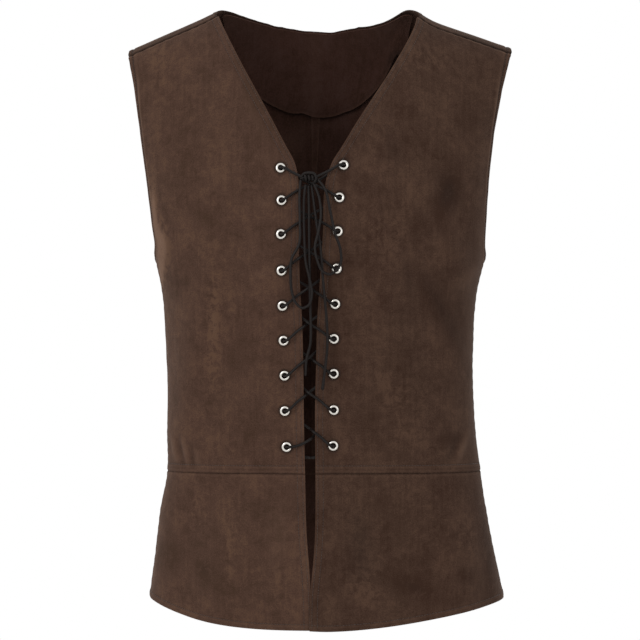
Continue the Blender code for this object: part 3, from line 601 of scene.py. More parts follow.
def shoulder_seam(d, s):
    """The shoulder seam's rear side: a band pressed flat that lies in its own shade, more so away
    from the neck."""
    height = plain_seam(d, s)[0] + 0.3 * ease(d, 7.6, 10) - 0.26 * bump(d, 7.9, 0.9)
    fade = (1 - ease(s, 20, 50)) * (0.8 + 0.2 * np.sin(s / 9))
    band = 0.9 * np.exp(-d / 1.8) + 0.65 * fade * ease(d, 6, 12) + 0.6 * bump(d, 10, 1.8)
    return height, 0.3 * bump(d, 4.2, 1.2), band


def front_shoulder_seam(d, s):
    """The front's side of the shoulder seam, which rolls up to it in an uneven rim, painted pale as
    highlight, with painted shade along the seam line.
    """
    swell = 0.6 + 0.4 * np.sin(s / 8 + 1.6 * np.sin(s / 17))
    height = plain_seam(d, s)[0] + 0.35 * swell * bump(d, 3.2, 1.6)
    return height, 0.55 * swell * bump(d, 2.8, 1.1), np.exp(-d / 1.1)


# Eyelets from the top down: height of the right and the left one, and how far each lies in from the front
# edge. The cloth is dimpled round them, with a ring of painted shade round each, and each sits in a hole that
# is punched through it.
EYELET_ROWS = (
    (-183.4, -180.3, 17.2, 14), (-219.4, -216.3, 19.6, 17.2), (-256.8, -253.7, 19.8, 16.2),
    (-297, -294.7, 19.7, 17.5), (-335.7, -333.7, 20.6, 18.7), (-374, -372, 21.1, 19.1),
    (-412.6, -410.5, 20.9, 19.8), (-451.6, -450.5, 20.9, 20.7), (-491.3, -490, 19.7, 19.9),
)
EYELET_CUT = 3.9
EYELET_CUT_LENGTH = 12
EYELET_CUT_STEPS = 32
eyelet_places = {}
for number, (right_z, left_z, right_inset, left_inset) in enumerate(EYELET_ROWS, 1):
    for side, z, inset in ((-1, right_z, right_inset), (1, left_z, left_inset)):
        eyelet_places[side, number] = front_place(edge_at[side](z) + side * inset, z)
eyelet_points = np.array([cloth_point(*place) for place in eyelet_places.values()])


def nearest(points, line):
    """Distance of each point from a line of points, and how far along the line it lies."""
    runs = run_lengths(line)
    places = np.linspace(0, runs[-1], max(2, round(runs[-1] / 0.5)))
    tree = kdtree.KDTree(len(places))
    for index, point in enumerate(points_at(line, runs, places)):
        tree.insert(point, index)
    tree.balance()
    found = np.array([tree.find(point)[1:] for point in points.reshape(-1, 3)])
    shape = points.shape[:-1]
    return found[:, 1].reshape(shape), places[found[:, 0].astype(int)].reshape(shape)


def new_piece(name, points, faces, materials):
    """A smooth mesh object from points in metres."""
    mesh = bpy.data.meshes.new(name)
    mesh.from_pydata(points.tolist(), [], faces)
    for finish in materials:
        mesh.materials.append(finish)
    mesh.shade_smooth()
    return add_object(name, mesh)


def fix_on(piece, node=None):
    """Fixes a piece on the vest, in place of its plain solid."""
    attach(piece, "root")
    if node:
        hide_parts(node)


TAPE_Q = np.linspace(-28, 28, 1500)
TAPE_LENGTHS = run_lengths(form_point(TAPE_Q, np.full_like(TAPE_Q, TAPE_ANGLE)))


# Each panel, by its part and side, with the lines along which it is stitched. A line is its edge and
# the row of the grid that lies INSIDE rows in from it.
INSIDE = 10
panels = {}


def cloth_shell(name, q, w, edges, finishes, out=0.0, thickness=WALL, inner_shade=0.0):
    """A closed panel over a grid of places, worked at its edges, with its own UV map in metres."""
    base = form_point(q, w)
    direction = outward(q, w)
    from_eyelet = np.linalg.norm(base[..., None, :] - eyelet_points, axis=-1).min(-1)
    creased = fold_height(base, CREASES, CREASELESS_CENTRE)
    height = fold_height(base, FOLDS, FOLDLESS_CENTRE)
    height += (creased + unevenness(base)) * (1 - bump(from_eyelet, 0, 9)) - 0.25 * bump(from_eyelet, 0, 6.5)
    # Crease ridges and the strongest pale marks are painted paler, as rubbed wear and painted highlight.
    # Crease troughs and the strongest dark marks are painted darker, as painted shade.
    turned = tone_and_painted_light(base)
    rubbed_and_painted_highlight = 0.32 * np.clip(creased, 0, 1.5) + 0.8 * np.clip(turned - 1, 0, 1.5)
    shaded = 0.3 * np.clip(-creased, 0, 1.5) + 0.6 * np.clip(-turned - 1, 0, 1.5)
    # A ring of painted shade round each eyelet's rim.
    shaded += bump(from_eyelet, 6.5, 1.15)
    worked = np.zeros_like(height)
    rim_distance = np.full_like(height, 99.0)
    for line, work in edges:
        distance, along = nearest(base, line)
        raised, lighter, darker = work(distance, along)
        worked += raised
        rubbed_and_painted_highlight += lighter
        shaded += darker
        if work in (turned_edge, armhole_edge, neck_edge, hem_edge):
            rim_distance = np.minimum(rim_distance, distance)
    outer = base + direction * (height + worked + out)[..., None]
    inner = base + direction * (height + 0.5 * rim(rim_distance) + out - thickness)[..., None]
    rows, columns = q.shape
    count = rows * columns
    number = np.arange(count).reshape(rows, columns)
    corners = [number[:-1, :-1], number[:-1, 1:], number[1:, 1:], number[1:, :-1]]
    outer_faces = np.stack(corners, axis=-1).reshape(-1, 4)
    border = np.concatenate([number[0, :-1], number[:-1, -1], number[-1, :0:-1], number[:0:-1, 0]])
    after = np.roll(border, -1)
    border_faces = np.stack([border, border + count, after + count, after], axis=-1)
    faces = np.concatenate([outer_faces, outer_faces[:, ::-1] + count, border_faces])
    middle = number[rows // 2, columns // 2]
    a, b, c = outer.reshape(-1, 3)[[middle, middle + 1, middle + columns + 1]]
    if np.dot(np.cross(b - a, c - a), direction.reshape(-1, 3)[middle]) <= 0:
        faces = faces[:, ::-1]
    both = np.concatenate([outer.reshape(-1, 3), inner.reshape(-1, 3)]) * MM
    made = new_piece(name, both, faces.tolist(), finishes)
    mesh = made.data
    inside = np.zeros(len(faces), dtype=np.int32)
    inside[len(outer_faces) : 2 * len(outer_faces)] = 1
    mesh.polygons.foreach_set("material_index", inside)
    across = run_lengths(outer, axis=1) + np.abs(outer[:, :1, 0] - CENTRE_SHIFT)
    down = np.interp(q, TAPE_Q, TAPE_LENGTHS) if np.ptp(q[:, 0]) > np.ptp(q[0]) else run_lengths(outer)
    laid_out = np.array([0.41, 0.73]) * len(panels)
    flat = np.tile(np.stack([across, down], axis=-1).reshape(-1, 2) * MM + laid_out, (2, 1))
    corner_vertices = np.zeros(len(mesh.loops), dtype=np.int32)
    mesh.loops.foreach_get("vertex_index", corner_vertices)
    mesh.uv_layers.new(name="cut").data.foreach_set("uv", flat[corner_vertices].ravel())
    for label, outer_values, inner_values in (
        ("rubbed_and_painted_highlight", rubbed_and_painted_highlight, 0.5 * rubbed_and_painted_highlight),
        ("shaded", shaded, shaded + inner_shade),
        ("tone_and_painted_light", turned, 0.5 * turned),
    ):
        values = np.concatenate([outer_values.ravel(), inner_values.ravel()])
        layer = mesh.attributes.new(label, "FLOAT", "POINT")
        layer.data.foreach_set("value", np.clip(values, -1, 1).astype(np.float32))
    mesh.set_sharp_from_angle(angle=math.radians(60))
    mesh.validate()
    return made, outer


def set_stops(colour, places, codes):
    """Sets the stops of a colour ramp."""
    for stop, place, code in zip(colour.color_ramp.elements, places, codes):
        stop.position = place
        stop.color = linear(code)


def faux_suede(name, dark, middle, light, depth):
    """Brushed polyester microfibre: no gloss, a short nap that lies in soft patches and streaks, and a pale
    bloom at a flat angle. Ridges and rims are painted paler, as rubbed wear and painted highlight. Seams,
    grooves and troughs are painted darker as shade."""
    made, tree, surface = new_material(name)
    cut = add_node(tree, "UVMap", {}, uv_map="cut")
    brushed = add_node(tree, "Mapping", {"Vector": cut, "Scale": (300, 22, 1)})
    patches, hand_marks, streaks, nap = (
        add_node(tree, "TexNoise", {"Vector": place, "Scale": scale, "Detail": detail, **more})
        for place, scale, detail, more in (
            (cut, 24, 3.0, {"Roughness": 0.55}),
            (cut, 120, 2.0, {"Roughness": 0.6, "Distortion": 0.6}),
            (brushed, 1.0, 2.0, {}),
            (cut, 640, 3.0, {}),
        )
    )
    weighed = add_node(tree, "Math", {0: patches, 1: 0.33}, operation="MULTIPLY")
    for other, weight in ((hand_marks, 0.25), (streaks, 0.12), (nap, 0.3)):
        weighed = add_node(tree, "Math", {0: other, 1: weight, 2: weighed}, operation="MULTIPLY_ADD")
    turned, rubbed_and_painted_highlight, shaded = (
        add_node(tree, "Attribute", {}, attribute_name=label).outputs["Fac"]
        for label in ("tone_and_painted_light", "rubbed_and_painted_highlight", "shaded")
    )
    broken = add_node(
        tree, "MapRange", {"Value": hand_marks, "From Min": 0.36, "From Max": 0.66, "To Max": 0.25}
    )
    toned = add_node(tree, "Math", {0: turned, 1: broken, 2: weighed}, operation="MULTIPLY_ADD")
    colour = add_node(tree, "ValToRGB", {"Fac": toned})
    colour.color_ramp.elements.new(0.5)
    set_stops(colour, (0.395, 0.5, 0.605), (dark, middle, light))
    worn = colour.outputs["Color"]
    # Painted light: a pale tint for rubbed wear and painted highlight, then a near-black for painted shade.
    for wear_and_painted_light, strength, code in ((rubbed_and_painted_highlight, 0.6, "#6a5243"), (shaded, 0.7, "#120a07")):
        share = add_node(tree, "Math", {0: wear_and_painted_light, 1: strength}, operation="MULTIPLY")
        mixed = add_node(tree, "Mix", {"Factor": share, "A": worn, "B": code}, data_type="RGBA")
        worn = mixed.outputs["Result"]
    relief = add_node(tree, "Math", {0: nap, 1: 0.55, 2: weighed}, operation="MULTIPLY_ADD")
    tufts = add_node(tree, "Bump", {"Height": relief, "Strength": 0.45, "Distance": depth})
    set_inputs(surface, {"Base Color": worn, "Normal": tufts, "Roughness": 0.95, "Specular IOR Level": 0.15})
    set_inputs(surface, {"Sheen Weight": 0.16, "Sheen Roughness": 0.45, "Sheen Tint": "#a08470"})
    return made


# One suede in two copies with painted light: lighter on the wearer's right panels, as the lit side, and
# darker on the wearer's left panels and the back skirt, as painted shade.
suede = {
    -1: faux_suede("faux_suede_painted_lit_side", "#35241a", "#3f2c23", "#4b3629", 0.0006),
    1: faux_suede("faux_suede_painted_shaded_side", "#2d1c13", "#37261d", "#433025", 0.0006),
}
# The reverse side is darker and redder. Part of that is its own tone and part is painted shade for the hollow
# inside. The facing and the seam allowances take it too.
suede_inside = faux_suede("faux_suede_reverse_with_painted_shade", "#2b1910", "#342019", "#392620", 0.0004)

# The grid of a front is finer round the eyelets: q beside each one, and the columns from the edge
FRONT_WIDTH = 150
FINE_Q = np.linspace(-0.2, 0.2, 13)
FINE_STEP = 1.2
FINE_COLUMNS = np.arange(8.8, 27, FINE_STEP) / FRONT_WIDTH

for side, label in SIDES:
    rows = upper_rows(-math.sqrt(WAIST_DROP - SEAM_GAP / 2), -math.sqrt(SHOULDER_SEAM_DROP + SEAM_GAP / 2))
    places = [eyelet_places[side, number] for number in range(1, len(EYELET_ROWS) + 1)]
    for eyelet_q, _ in places:
        beside = eyelet_q + FINE_Q
        rows = np.sort(np.concatenate([rows[(rows < beside[0]) | (rows > beside[-1])], beside]))
    shares = cloth_shares(FRONT_WIDTH)
    clear = 0.4 * FINE_STEP / FRONT_WIDTH
    shares = shares[(shares < FINE_COLUMNS[0] - clear) | (shares > FINE_COLUMNS[-1] + clear)]
    q, share = np.meshgrid(rows, np.sort(np.concatenate([shares, FINE_COLUMNS])), indexing="ij")
    w = along_ring(q, front_edge_w(side, rows)[:, None], outer_w(side, rows)[:, None], share)
    border = form_point(q, w)
    below_arm = rows * rows >= UNDERARM_DROP
    above_arm = rows * rows <= UNDERARM_DROP + 1e-6
    edges = (
        (border[:, 0], turned_edge),
        (border[above_arm, -1], armhole_edge),
        (border[below_arm, -1], plain_seam),
        (border[0], topstitched_seam),
        (border[-1], front_shoulder_seam),
    )
    front, outer = cloth_shell(f"cloth_front_{label}", q, w, edges, (suede[side], suede_inside))
    panels["front", side] = front, {
        "lacing": (outer[:, 0], outer[:, INSIDE]),
        "armhole": (outer[above_arm, -1], outer[above_arm, -1 - INSIDE]),
        "waist": (outer[0], outer[INSIDE]),
    }
    punches = []
    for place in places:
        bpy.ops.mesh.primitive_cylinder_add(
            vertices=EYELET_CUT_STEPS, radius=EYELET_CUT * MM, depth=EYELET_CUT_LENGTH * MM
        )
        punch = bpy.context.object
        punch.location = Vector(cloth_point(*place)) * MM
        punch.rotation_euler = Vector(outward(*place)).to_track_quat("Z", "Y").to_euler()
        punches.append(punch)
    bpy.ops.object.select_all(action="DESELECT")
    for punch in punches:
        punch.select_set(True)
    bpy.context.view_layer.objects.active = punches[0]
    bpy.ops.object.join()
    holes = front.modifiers.new("holes", "BOOLEAN")
    holes.object = punches[0]
    holes.solver = "EXACT"
    bpy.ops.object.select_all(action="DESELECT")
    bpy.context.view_layer.objects.active = front
    bpy.ops.object.modifier_apply(modifier="holes")
    bpy.data.objects.remove(punches[0])
    fix_on(front, f"front_{label}")


# The two backs are cut from the same faux suede and joined by the centre back seam. They come over
# the shoulder to the shoulder seam, which sits a little forward, and the neck edge is turned in.
CENTRE_BACK_SHIFT = -7
CENTRE_BACK_GAP = 0.03
BACK_COLUMNS = 11
BACK_NECK_COLUMNS = 6
BACK_NECK_WIDTH = 110
BACK_SHOULDER_WIDTH = 95
BACK_SEAM_Q = -math.sqrt(SHOULDER_SEAM_DROP - SEAM_GAP / 2)
WAIST_Q = math.sqrt(WAIST_DROP - SEAM_GAP / 2)
NECK_CORNER = {side: float(edge_at[side](-SHOULDER_SEAM_DROP)) for side in (-1, 1)}

# The back neck's edge across, from the wearer's right to the left: column of the cut, and q there
neck_q_at = smooth_curve(*np.array((
    (-6, BACK_SEAM_Q), (-5, -0.33), (-4, 1.73), (-3, 3.66), (-2, 5.17), (-1.5, 5.73), (-1, 6.02),
    (-0.5, 6.21), (0, 6.4), (0.5, 5.97), (1, 5.62), (1.5, 5.35), (2, 4.89), (3, 3.41), (4, 0.96),
    (5, -0.42), (6, BACK_SEAM_Q),
)).T)


def back_grid(side, q_rows, columns):
    """The (q, w) grid of an upper back over rows and columns of the cut. Its top edge is the neck's
    oval, then the shoulder."""
    q_row, column = np.meshgrid(q_rows, columns, indexing="ij")
    across_neck = abs(NECK_CORNER[side] - CENTRE_BACK_SHIFT)
    neck_share = across_neck / abs(side * SHOULDER_HALF_WIDTH - CENTRE_BACK_SHIFT)
    over_neck = np.sin(np.minimum(column / BACK_NECK_COLUMNS, 1) * math.pi / 2)
    beyond = (column - BACK_NECK_COLUMNS) / (BACK_COLUMNS - BACK_NECK_COLUMNS)
    on_neck = column < BACK_NECK_COLUMNS
    top_share = np.where(on_neck, neck_share * over_neck, neck_share + (1 - neck_share) * beyond)
    top_q = np.where(on_neck, neck_q_at(side * column), BACK_SEAM_Q)
    rise = ((WAIST_Q - q_row) / (WAIST_Q - BACK_SEAM_Q)) ** 2
    share = column / BACK_COLUMNS + (top_share - column / BACK_COLUMNS) * rise
    q = q_row + (top_q - BACK_SEAM_Q) * rise
    inner = shift_along(q, w_at_x(q, CENTRE_BACK_SHIFT), CENTRE_BACK_GAP, side)
    return q, along_ring(q, inner, outer_w(side, q), share)


# The facing's lower edge, an uneven oval inside the back neck. The backs get painted shade just below it.
FACING_CENTRE_X = 2
FACING_CENTRE_DROP = 5
FACING_DEPTH = 110
FACING_HALF_WIDTH = {-1: 118, 1: 90}
FACING_SIDE_SHARE = 0.33


def facing_low_z(x):
    """Height of the facing's lower edge at X. It is drawn up a little beside the centre back seam."""
    across = x - FACING_CENTRE_X
    across = across / np.where(across > 0, FACING_HALF_WIDTH[1], FACING_HALF_WIDTH[-1])
    sweep = np.maximum(FACING_SIDE_SHARE, np.sqrt(np.maximum(0, 1 - across**2)))
    drawn_up = 3.2 * bump(x, -20, 8.5) + 1.2 * bump(x, 28, 7)
    return drawn_up - FACING_CENTRE_DROP - FACING_DEPTH * sweep


for side, label in SIDES:
    neck_part = cloth_shares(BACK_NECK_WIDTH) * BACK_NECK_COLUMNS
    shoulder_part = cloth_shares(BACK_SHOULDER_WIDTH)[1:] * (BACK_COLUMNS - BACK_NECK_COLUMNS)
    columns = np.concatenate([neck_part, BACK_NECK_COLUMNS + shoulder_part])
    q, w = back_grid(side, upper_rows(WAIST_Q, BACK_SEAM_Q), columns)
    border = form_point(q, w)
    on_neck = columns <= BACK_NECK_COLUMNS
    off_neck = columns >= BACK_NECK_COLUMNS
    below_arm = (q[:, -1] ** 2 >= UNDERARM_DROP) & (q[:, -1] > 0)
    above_arm = (q[:, -1] ** 2 <= UNDERARM_DROP + 1e-6) | (q[:, -1] < 0)
    edges = (
        (border[::-1, 0], centre_seam),
        (border[-1, on_neck], neck_edge),
        (border[-1, off_neck], shoulder_seam),
        (border[above_arm, -1], armhole_edge),
        (border[below_arm, -1], plain_seam),
        (border[0], topstitched_seam),
    )
    x, y, z = np.moveaxis(border, -1, 0)
    # Painted shade on the backs' inner face: a thin shadow just below the facing's edge, and a deep shadow by
    # the facing's corner at the wearer's left.
    below_facing = facing_low_z(x) - z
    shade = np.where(below_facing > -2, 0.95 * bump(below_facing, 0.5, 2.8), 0)
    shade = (shade + bump(x, 92, 13) * bump(z, -56, 16)) * (y > 0)
    finishes = (suede[side], suede_inside)
    back, outer = cloth_shell(f"cloth_back_{label}", q, w, edges, finishes, inner_shade=shade)
    panels["back", side] = back, {
        "neck": (outer[-1, on_neck], outer[-1 - INSIDE, on_neck]),
        "shoulder": (outer[-1, off_neck], outer[-1 - INSIDE, off_neck]),
        "armhole": (outer[above_arm, -1], outer[above_arm, -1 - INSIDE]),
        "waist": (outer[0], outer[INSIDE]),
    }
    fix_on(back, f"back_{label}")


# The skirt is three pieces of the same suede below the waist seam, two in front and one behind,
# hemmed in a curve that rises to the sides. The two in front lap over each other a little at the hem.
HEM_SIDE_RISE = 30
HEM_ROUNDNESS = {-1: 3.1, 1: 1.6, 0: 2.4}
LEFT_HEM_LOWER = 1.3
LAP_FROM_DROP = 600
LAP = 1.6
LAP_STEP = 1.1
SKIRT_WIDTH = 205
SKIRT_BACK_WIDTH = 430


def lap_share(q):
    """How far the two front skirts have closed over each other at q, from 0 to full at the hem."""
    return 1 - ease(q * q, LAP_FROM_DROP, HEM_DROP)


def skirt_grid(half, side, w_from, w_to, length, lower=0.0):
    """The (q, w) grid of a skirt piece, between two edges given as angles of q."""
    top = WAIST_DROP + SEAM_GAP / 2
    down, share = np.meshgrid(cloth_shares(HEM_DROP - top), cloth_shares(length), indexing="ij")
    drop = top + (HEM_DROP - top) * down
    for _ in range(4):
        q = half * np.sqrt(drop)
        w = along_ring(q, w_from(q), w_to(q), share)
        aside = np.abs(np.sin(w)) ** (2 / ring_square[-1])
        hem_drop = HEM_DROP + lower - HEM_SIDE_RISE * aside ** HEM_ROUNDNESS[side]
        drop = top + (hem_drop - top) * down
    return half * np.sqrt(drop), w


for side, label in (*SIDES, (0, "back")):
    if side:
        q, w = skirt_grid(
            -1,
            side,
            lambda q: shift_along(q, front_edge_w(side, q), LAP * lap_share(q), -side),
            lambda q: side_seam_w(side, q),
            SKIRT_WIDTH,
            LEFT_HEM_LOWER if side > 0 else 0,
        )
    else:
        q, w = skirt_grid(1, 0, lambda q: side_seam_w(-1, q), lambda q: side_seam_w(1, q), SKIRT_BACK_WIDTH)
    border = form_point(q, w)
    lapped = side * LAP_STEP * lap_share(q) * ease(run_lengths(border, axis=1), 3, 22)
    edges = (
        (border[:, 0], turned_edge if side else plain_seam),
        (border[:, -1], plain_seam),
        (border[0], plain_seam),
        (border[-1], hem_edge),
    )
    finishes = (suede[side or 1], suede_inside)
    skirt, outer = cloth_shell(f"cloth_skirt_{label}", q, w, edges, finishes, lapped)
    lines = {"hem": (outer[-1], outer[-1 - INSIDE])}
    if side:
        lines["lacing"] = (outer[:, 0], outer[:, INSIDE])
    panels["skirt", side] = skirt, lines
    fix_on(skirt, f"skirt_front_{label}" if side else "skirt_back")
    flat, area = {-1: ((0.24, 0.178), 0.036), 1: ((0.24, 0.178), 0.0405), 0: ((0.5, 0.178), 0.083)}[side]


# The facing is one deep curved piece of the darker reverse side, sewn inside the back neck, whose lower edge
# hangs free a little off the backs and throws a thin shadow on them, which is also painted on the backs. A
# deep shadow is painted on the facing near its corner at the wearer's left.
FACING_WALL = 1.2
FACING_CLEAR = 0.95
FACING_CORNER_CLEAR = 3.1
FACING_HANG = 3.6
FACING_COLUMNS = 44
FACING_LOWEST_Q = 13.5


def facing_edge(d, s):
    """The facing's raw lower edge, left thin. Its rim is painted paler as highlight, with a faint band of
    painted shade 4 mm in.
    """
    return -0.35 * bump(d, 0, 1.2), 0.35 * np.exp(-d / 1.2), 0.2 * bump(d, 4, 1.5)


def seam_print(d, s):
    """The centre back seam behind the facing shows through it as a faint ridge, painted paler as highlight,
    with a faint line of painted shade 3 mm beside it.
    """
    return 0.15 * bump(d, 0, 2.4), 0.12 * bump(d, 0, 1.6), 0.1 * bump(d, 3.2, 1.2)


shares = cloth_shares(FACING_DEPTH)
column_steps = np.linspace(0, BACK_NECK_COLUMNS - 1, FACING_COLUMNS)
facing_columns = []
for side, picked in ((-1, range(FACING_COLUMNS - 1, -1, -1)), (1, range(1, FACING_COLUMNS))):
    q_fine, w_fine = back_grid(side, np.linspace(BACK_SEAM_Q, FACING_LOWEST_Q, 160), column_steps)
    for j in picked:
        top = cloth_point(q_fine[0, j], w_fine[0, j])
        x = top[0]
        for _ in range(6):
            low_z = float(facing_low_z(x))
            low_q = q_at_height(x, low_z, 1)
            x = float(cloth_point(low_q, np.interp(low_q, q_fine[:, j], w_fine[:, j]))[0])
        high_q = q_at_height(top[0], top[2] - 1, 1)
        q_column = high_q + (low_q - high_q) * shares
        clear = FACING_CLEAR + FACING_CORNER_CLEAR * (column_steps[j] / BACK_NECK_COLUMNS) ** 2
        hang = FACING_HANG * (0.75 - 0.25 * math.sin(top[0] / 26))
        hang = hang * ease((1 - shares) * (top[2] - low_z), 0, 34)
        w_column = np.interp(q_column, q_fine[:, j], w_fine[:, j])
        facing_columns.append((q_column, w_column, -WALL - clear - hang))
q, w, off = np.array(facing_columns).transpose(1, 2, 0)
border = form_point(q, w)
# Painted deep shadow on the facing near its corner at the wearer's left.
shade = 1.3 * bump(border[..., 0], 91, 9) * bump(border[..., 2], -50, 12)
edges = ((border[-1], facing_edge), (border[:, FACING_COLUMNS - 1], seam_print))
facing, _ = cloth_shell("cloth_facing", q, w, edges, (suede_inside, suede_inside), off, FACING_WALL, shade)
fix_on(facing, "back_neck_facing")


# Inside, the seam allowances close each seam from behind. The one down the centre back is felled
# narrow, and the ones at the sides, the shoulders and the waist are pressed open, 9 mm each way.
ALLOWANCE = 9.0
CENTRE_ALLOWANCE = 2.9
ALLOWANCE_WALL = 0.7
ALLOWANCE_OFF = 0.1
LAYER_STEP = ALLOWANCE_WALL + 0.15


def allowance_edge(d, s):
    """A raw edge, left thin, its rim painted paler as highlight."""
    return -0.3 * bump(d, 0, 1.2), 0.6 * np.exp(-d / 1.3), 0 * d


def seam_allowance(name, q, w, layer=0):
    """A strip of the reverse side behind a seam."""
    border = form_point(q, w)
    edges = ((border[:, 0], allowance_edge), (border[:, -1], allowance_edge))
    off = -WALL - ALLOWANCE_OFF - layer * LAYER_STEP
    finishes = (suede_inside, suede_inside)
    strip, _ = cloth_shell(f"seam_allowance_{name}", q, w, edges, finishes, off, ALLOWANCE_WALL)
    fix_on(strip)


across_seam = np.linspace(-1, 1, 13)
q_rows = np.linspace(neck_q_at(0) + 0.04, WAIST_Q - 0.02, 180)
q, offset = np.meshgrid(q_rows, across_seam * CENTRE_ALLOWANCE, indexing="ij")
w = shift_along(q, w_at_x(q, CENTRE_BACK_SHIFT), offset, 1)
seam_allowance("centre_back", q, w)
for side, label in SIDES:
    q_rows = -np.sqrt(np.linspace(UNDERARM_DROP + 3, HEM_DROP - HEM_SIDE_RISE - 3, 130))
    q, offset = np.meshgrid(q_rows, across_seam * ALLOWANCE, indexing="ij")
    seam_allowance(f"side_{label}", q, side_seam_w(side, q, -offset))
    q_across = np.interp(np.linspace(0, 2, 9), (0, 1, 2), (-3.9, BACK_SEAM_Q, -1.6))
    share, q = np.meshgrid(np.linspace(0.03, 0.97, 40), q_across, indexing="ij")
    w = along_ring(q, w_at_x(q, np.full_like(q, NECK_CORNER[side])), armhole_w(side, q), share)
    seam_allowance(f"shoulder_{label}", q, w)
halves = []
for side in (-1, 1):
    q_across = -np.sqrt(np.linspace(WAIST_DROP - ALLOWANCE, WAIST_DROP + ALLOWANCE, 9))
    share, q = np.meshgrid(np.linspace(0.012, 1, 150), q_across, indexing="ij")
    halves.append((q, along_ring(q, front_edge_w(side, q), np.full_like(q, side * math.pi), share)))
q, w = (np.concatenate([right, left[-2::-1]]) for right, left in zip(*halves))
seam_allowance("waist", q, w, layer=1)


# The seams and edges are topstitched by machine with a brown polyester thread, near in tone to the
# suede. A stitch is 2.6 mm long, 3.2 mm from the next, and 0.55 mm thick, so that it shows.
STITCH_LENGTH = 2.6
STITCH_STEP = 3.2
STITCH_THICK = 0.55
STITCH_STAND = 0.08

# The lines of stitches on each panel: the edge, and how far in from it
STITCH_LINES = {
    "front": (("lacing", 2.6), ("lacing", 8.5), ("armhole", 5.0), ("waist", 8.6)),
    "back": (("neck", 5.0), ("shoulder", 8.6), ("armhole", 5.0), ("waist", 8.6)),
    "skirt": (("lacing", 2.6), ("lacing", 8.5), ("hem", 6.5)),
}

bpy.ops.mesh.primitive_uv_sphere_add(segments=6, ring_count=4, radius=0.5)
one_stitch = bpy.context.object
bpy.ops.object.mode_set(mode="EDIT")
bpy.ops.mesh.select_all(action="SELECT")
bpy.ops.transform.rotate(value=math.radians(90), orient_axis="Y", center_override=(0, 0, 0))
bpy.ops.transform.resize(value=(STITCH_LENGTH, STITCH_THICK, STITCH_THICK))
bpy.ops.object.mode_set(mode="OBJECT")
stitch_points = np.array([v.co[:] for v in one_stitch.data.vertices])
stitch_faces = [tuple(f.vertices) for f in one_stitch.data.polygons]
bpy.data.objects.remove(one_stitch)

# Spun polyester thread: brown, matt, with a faint twist of lighter fibre
thread, tree, surface = new_material("spun_polyester_thread")
place = add_node(tree, "TexCoord", {}).outputs["Object"]
fibres = add_node(tree, "TexNoise", {"Vector": place, "Scale": 900, "Detail": 2.0})
colour = add_node(tree, "ValToRGB", {"Fac": fibres})
set_stops(colour, (0.35, 0.7), ("#261913", "#43322a"))
set_inputs(surface, {"Base Color": colour, "Roughness": 0.75, "Sheen Weight": 0.1})


def stitches(panel, edge, inside, distance):
    """The points of each stitch at a distance in from an edge of a panel, in metres."""
    runs = run_lengths(edge)
    at = (np.arange(int((runs[-1] - STITCH_STEP) // STITCH_STEP)) + 0.9) * STITCH_STEP
    on_edge = points_at(edge, runs, at)
    ahead = unit(np.gradient(on_edge, axis=0))
    inward = points_at(inside, runs, at) - on_edge
    inward = unit(inward - ahead * (inward * ahead).sum(1, keepdims=True))
    for point, along in zip((on_edge + inward * distance) * MM, ahead):
        _, place, normal, _ = panel.closest_point_on_mesh(Vector(point))
        along = Vector(along)
        along = (along - normal * along.dot(normal)).normalized()
        turn = np.array([along[:], normal.cross(along)[:], normal[:]])
        yield (stitch_points @ turn + STITCH_STAND * np.array(normal[:])) * MM + np.array(place[:])


for side, label in (*SIDES, (0, "back")):
    for part in ("front", "back", "skirt") if side else ("skirt",):
        panel, lines = panels[part, side]
        sewn = [
            points
            for line, distance in STITCH_LINES[part]
            if line in lines
            for points in stitches(panel, *lines[line], distance)
        ]
        starts = range(0, len(sewn) * len(stitch_points), len(stitch_points))
        faces = [tuple(start + i for i in face) for start in starts for face in stitch_faces]
        seam = new_piece(f"stitching_{part}_{label}", np.concatenate(sewn), faces, [thread])
        fix_on(seam)


# The eyelets are brass, turned, plated with bright nickel and set through the cloth: a domed ring
# outside, a barrel, and a flat ring rolled over inside. The nickel is a bright, slightly warm mirror
# with fine rub marks.
EYELET_STEPS = 48

# The turned profile of an eyelet: radius, and height over the cloth
EYELET_PROFILE = (
    (2.8, 0.3), (2.95, 0.75), (3.3, 1.08), (3.85, 1.2), (4.45, 1.12), (5.0, 0.86), (5.35, 0.56),
    (5.5, 0.25), (5.3, 0.06), (3.5, 0.1), (3.5, -2.05), (4.5, -2.05), (4.7, -2.3), (4.5, -2.6),
    (3.1, -2.7), (2.8, -2.4),
)

nickel, tree, surface = new_material("bright_nickel_plate")
place = add_node(tree, "TexCoord", {}).outputs["Object"]
rubs = add_node(tree, "TexNoise", {"Vector": place, "Scale": 700, "Detail": 3.0})
gloss = add_node(tree, "MapRange", {"Value": rubs, "To Min": 0.16, "To Max": 0.34})
scratches = add_node(tree, "Bump", {"Height": rubs, "Strength": 0.08, "Distance": 0.0002})
set_inputs(surface, {"Base Color": "#d3cfc8", "Metallic": 1.0, "Roughness": gloss, "Normal": scratches})

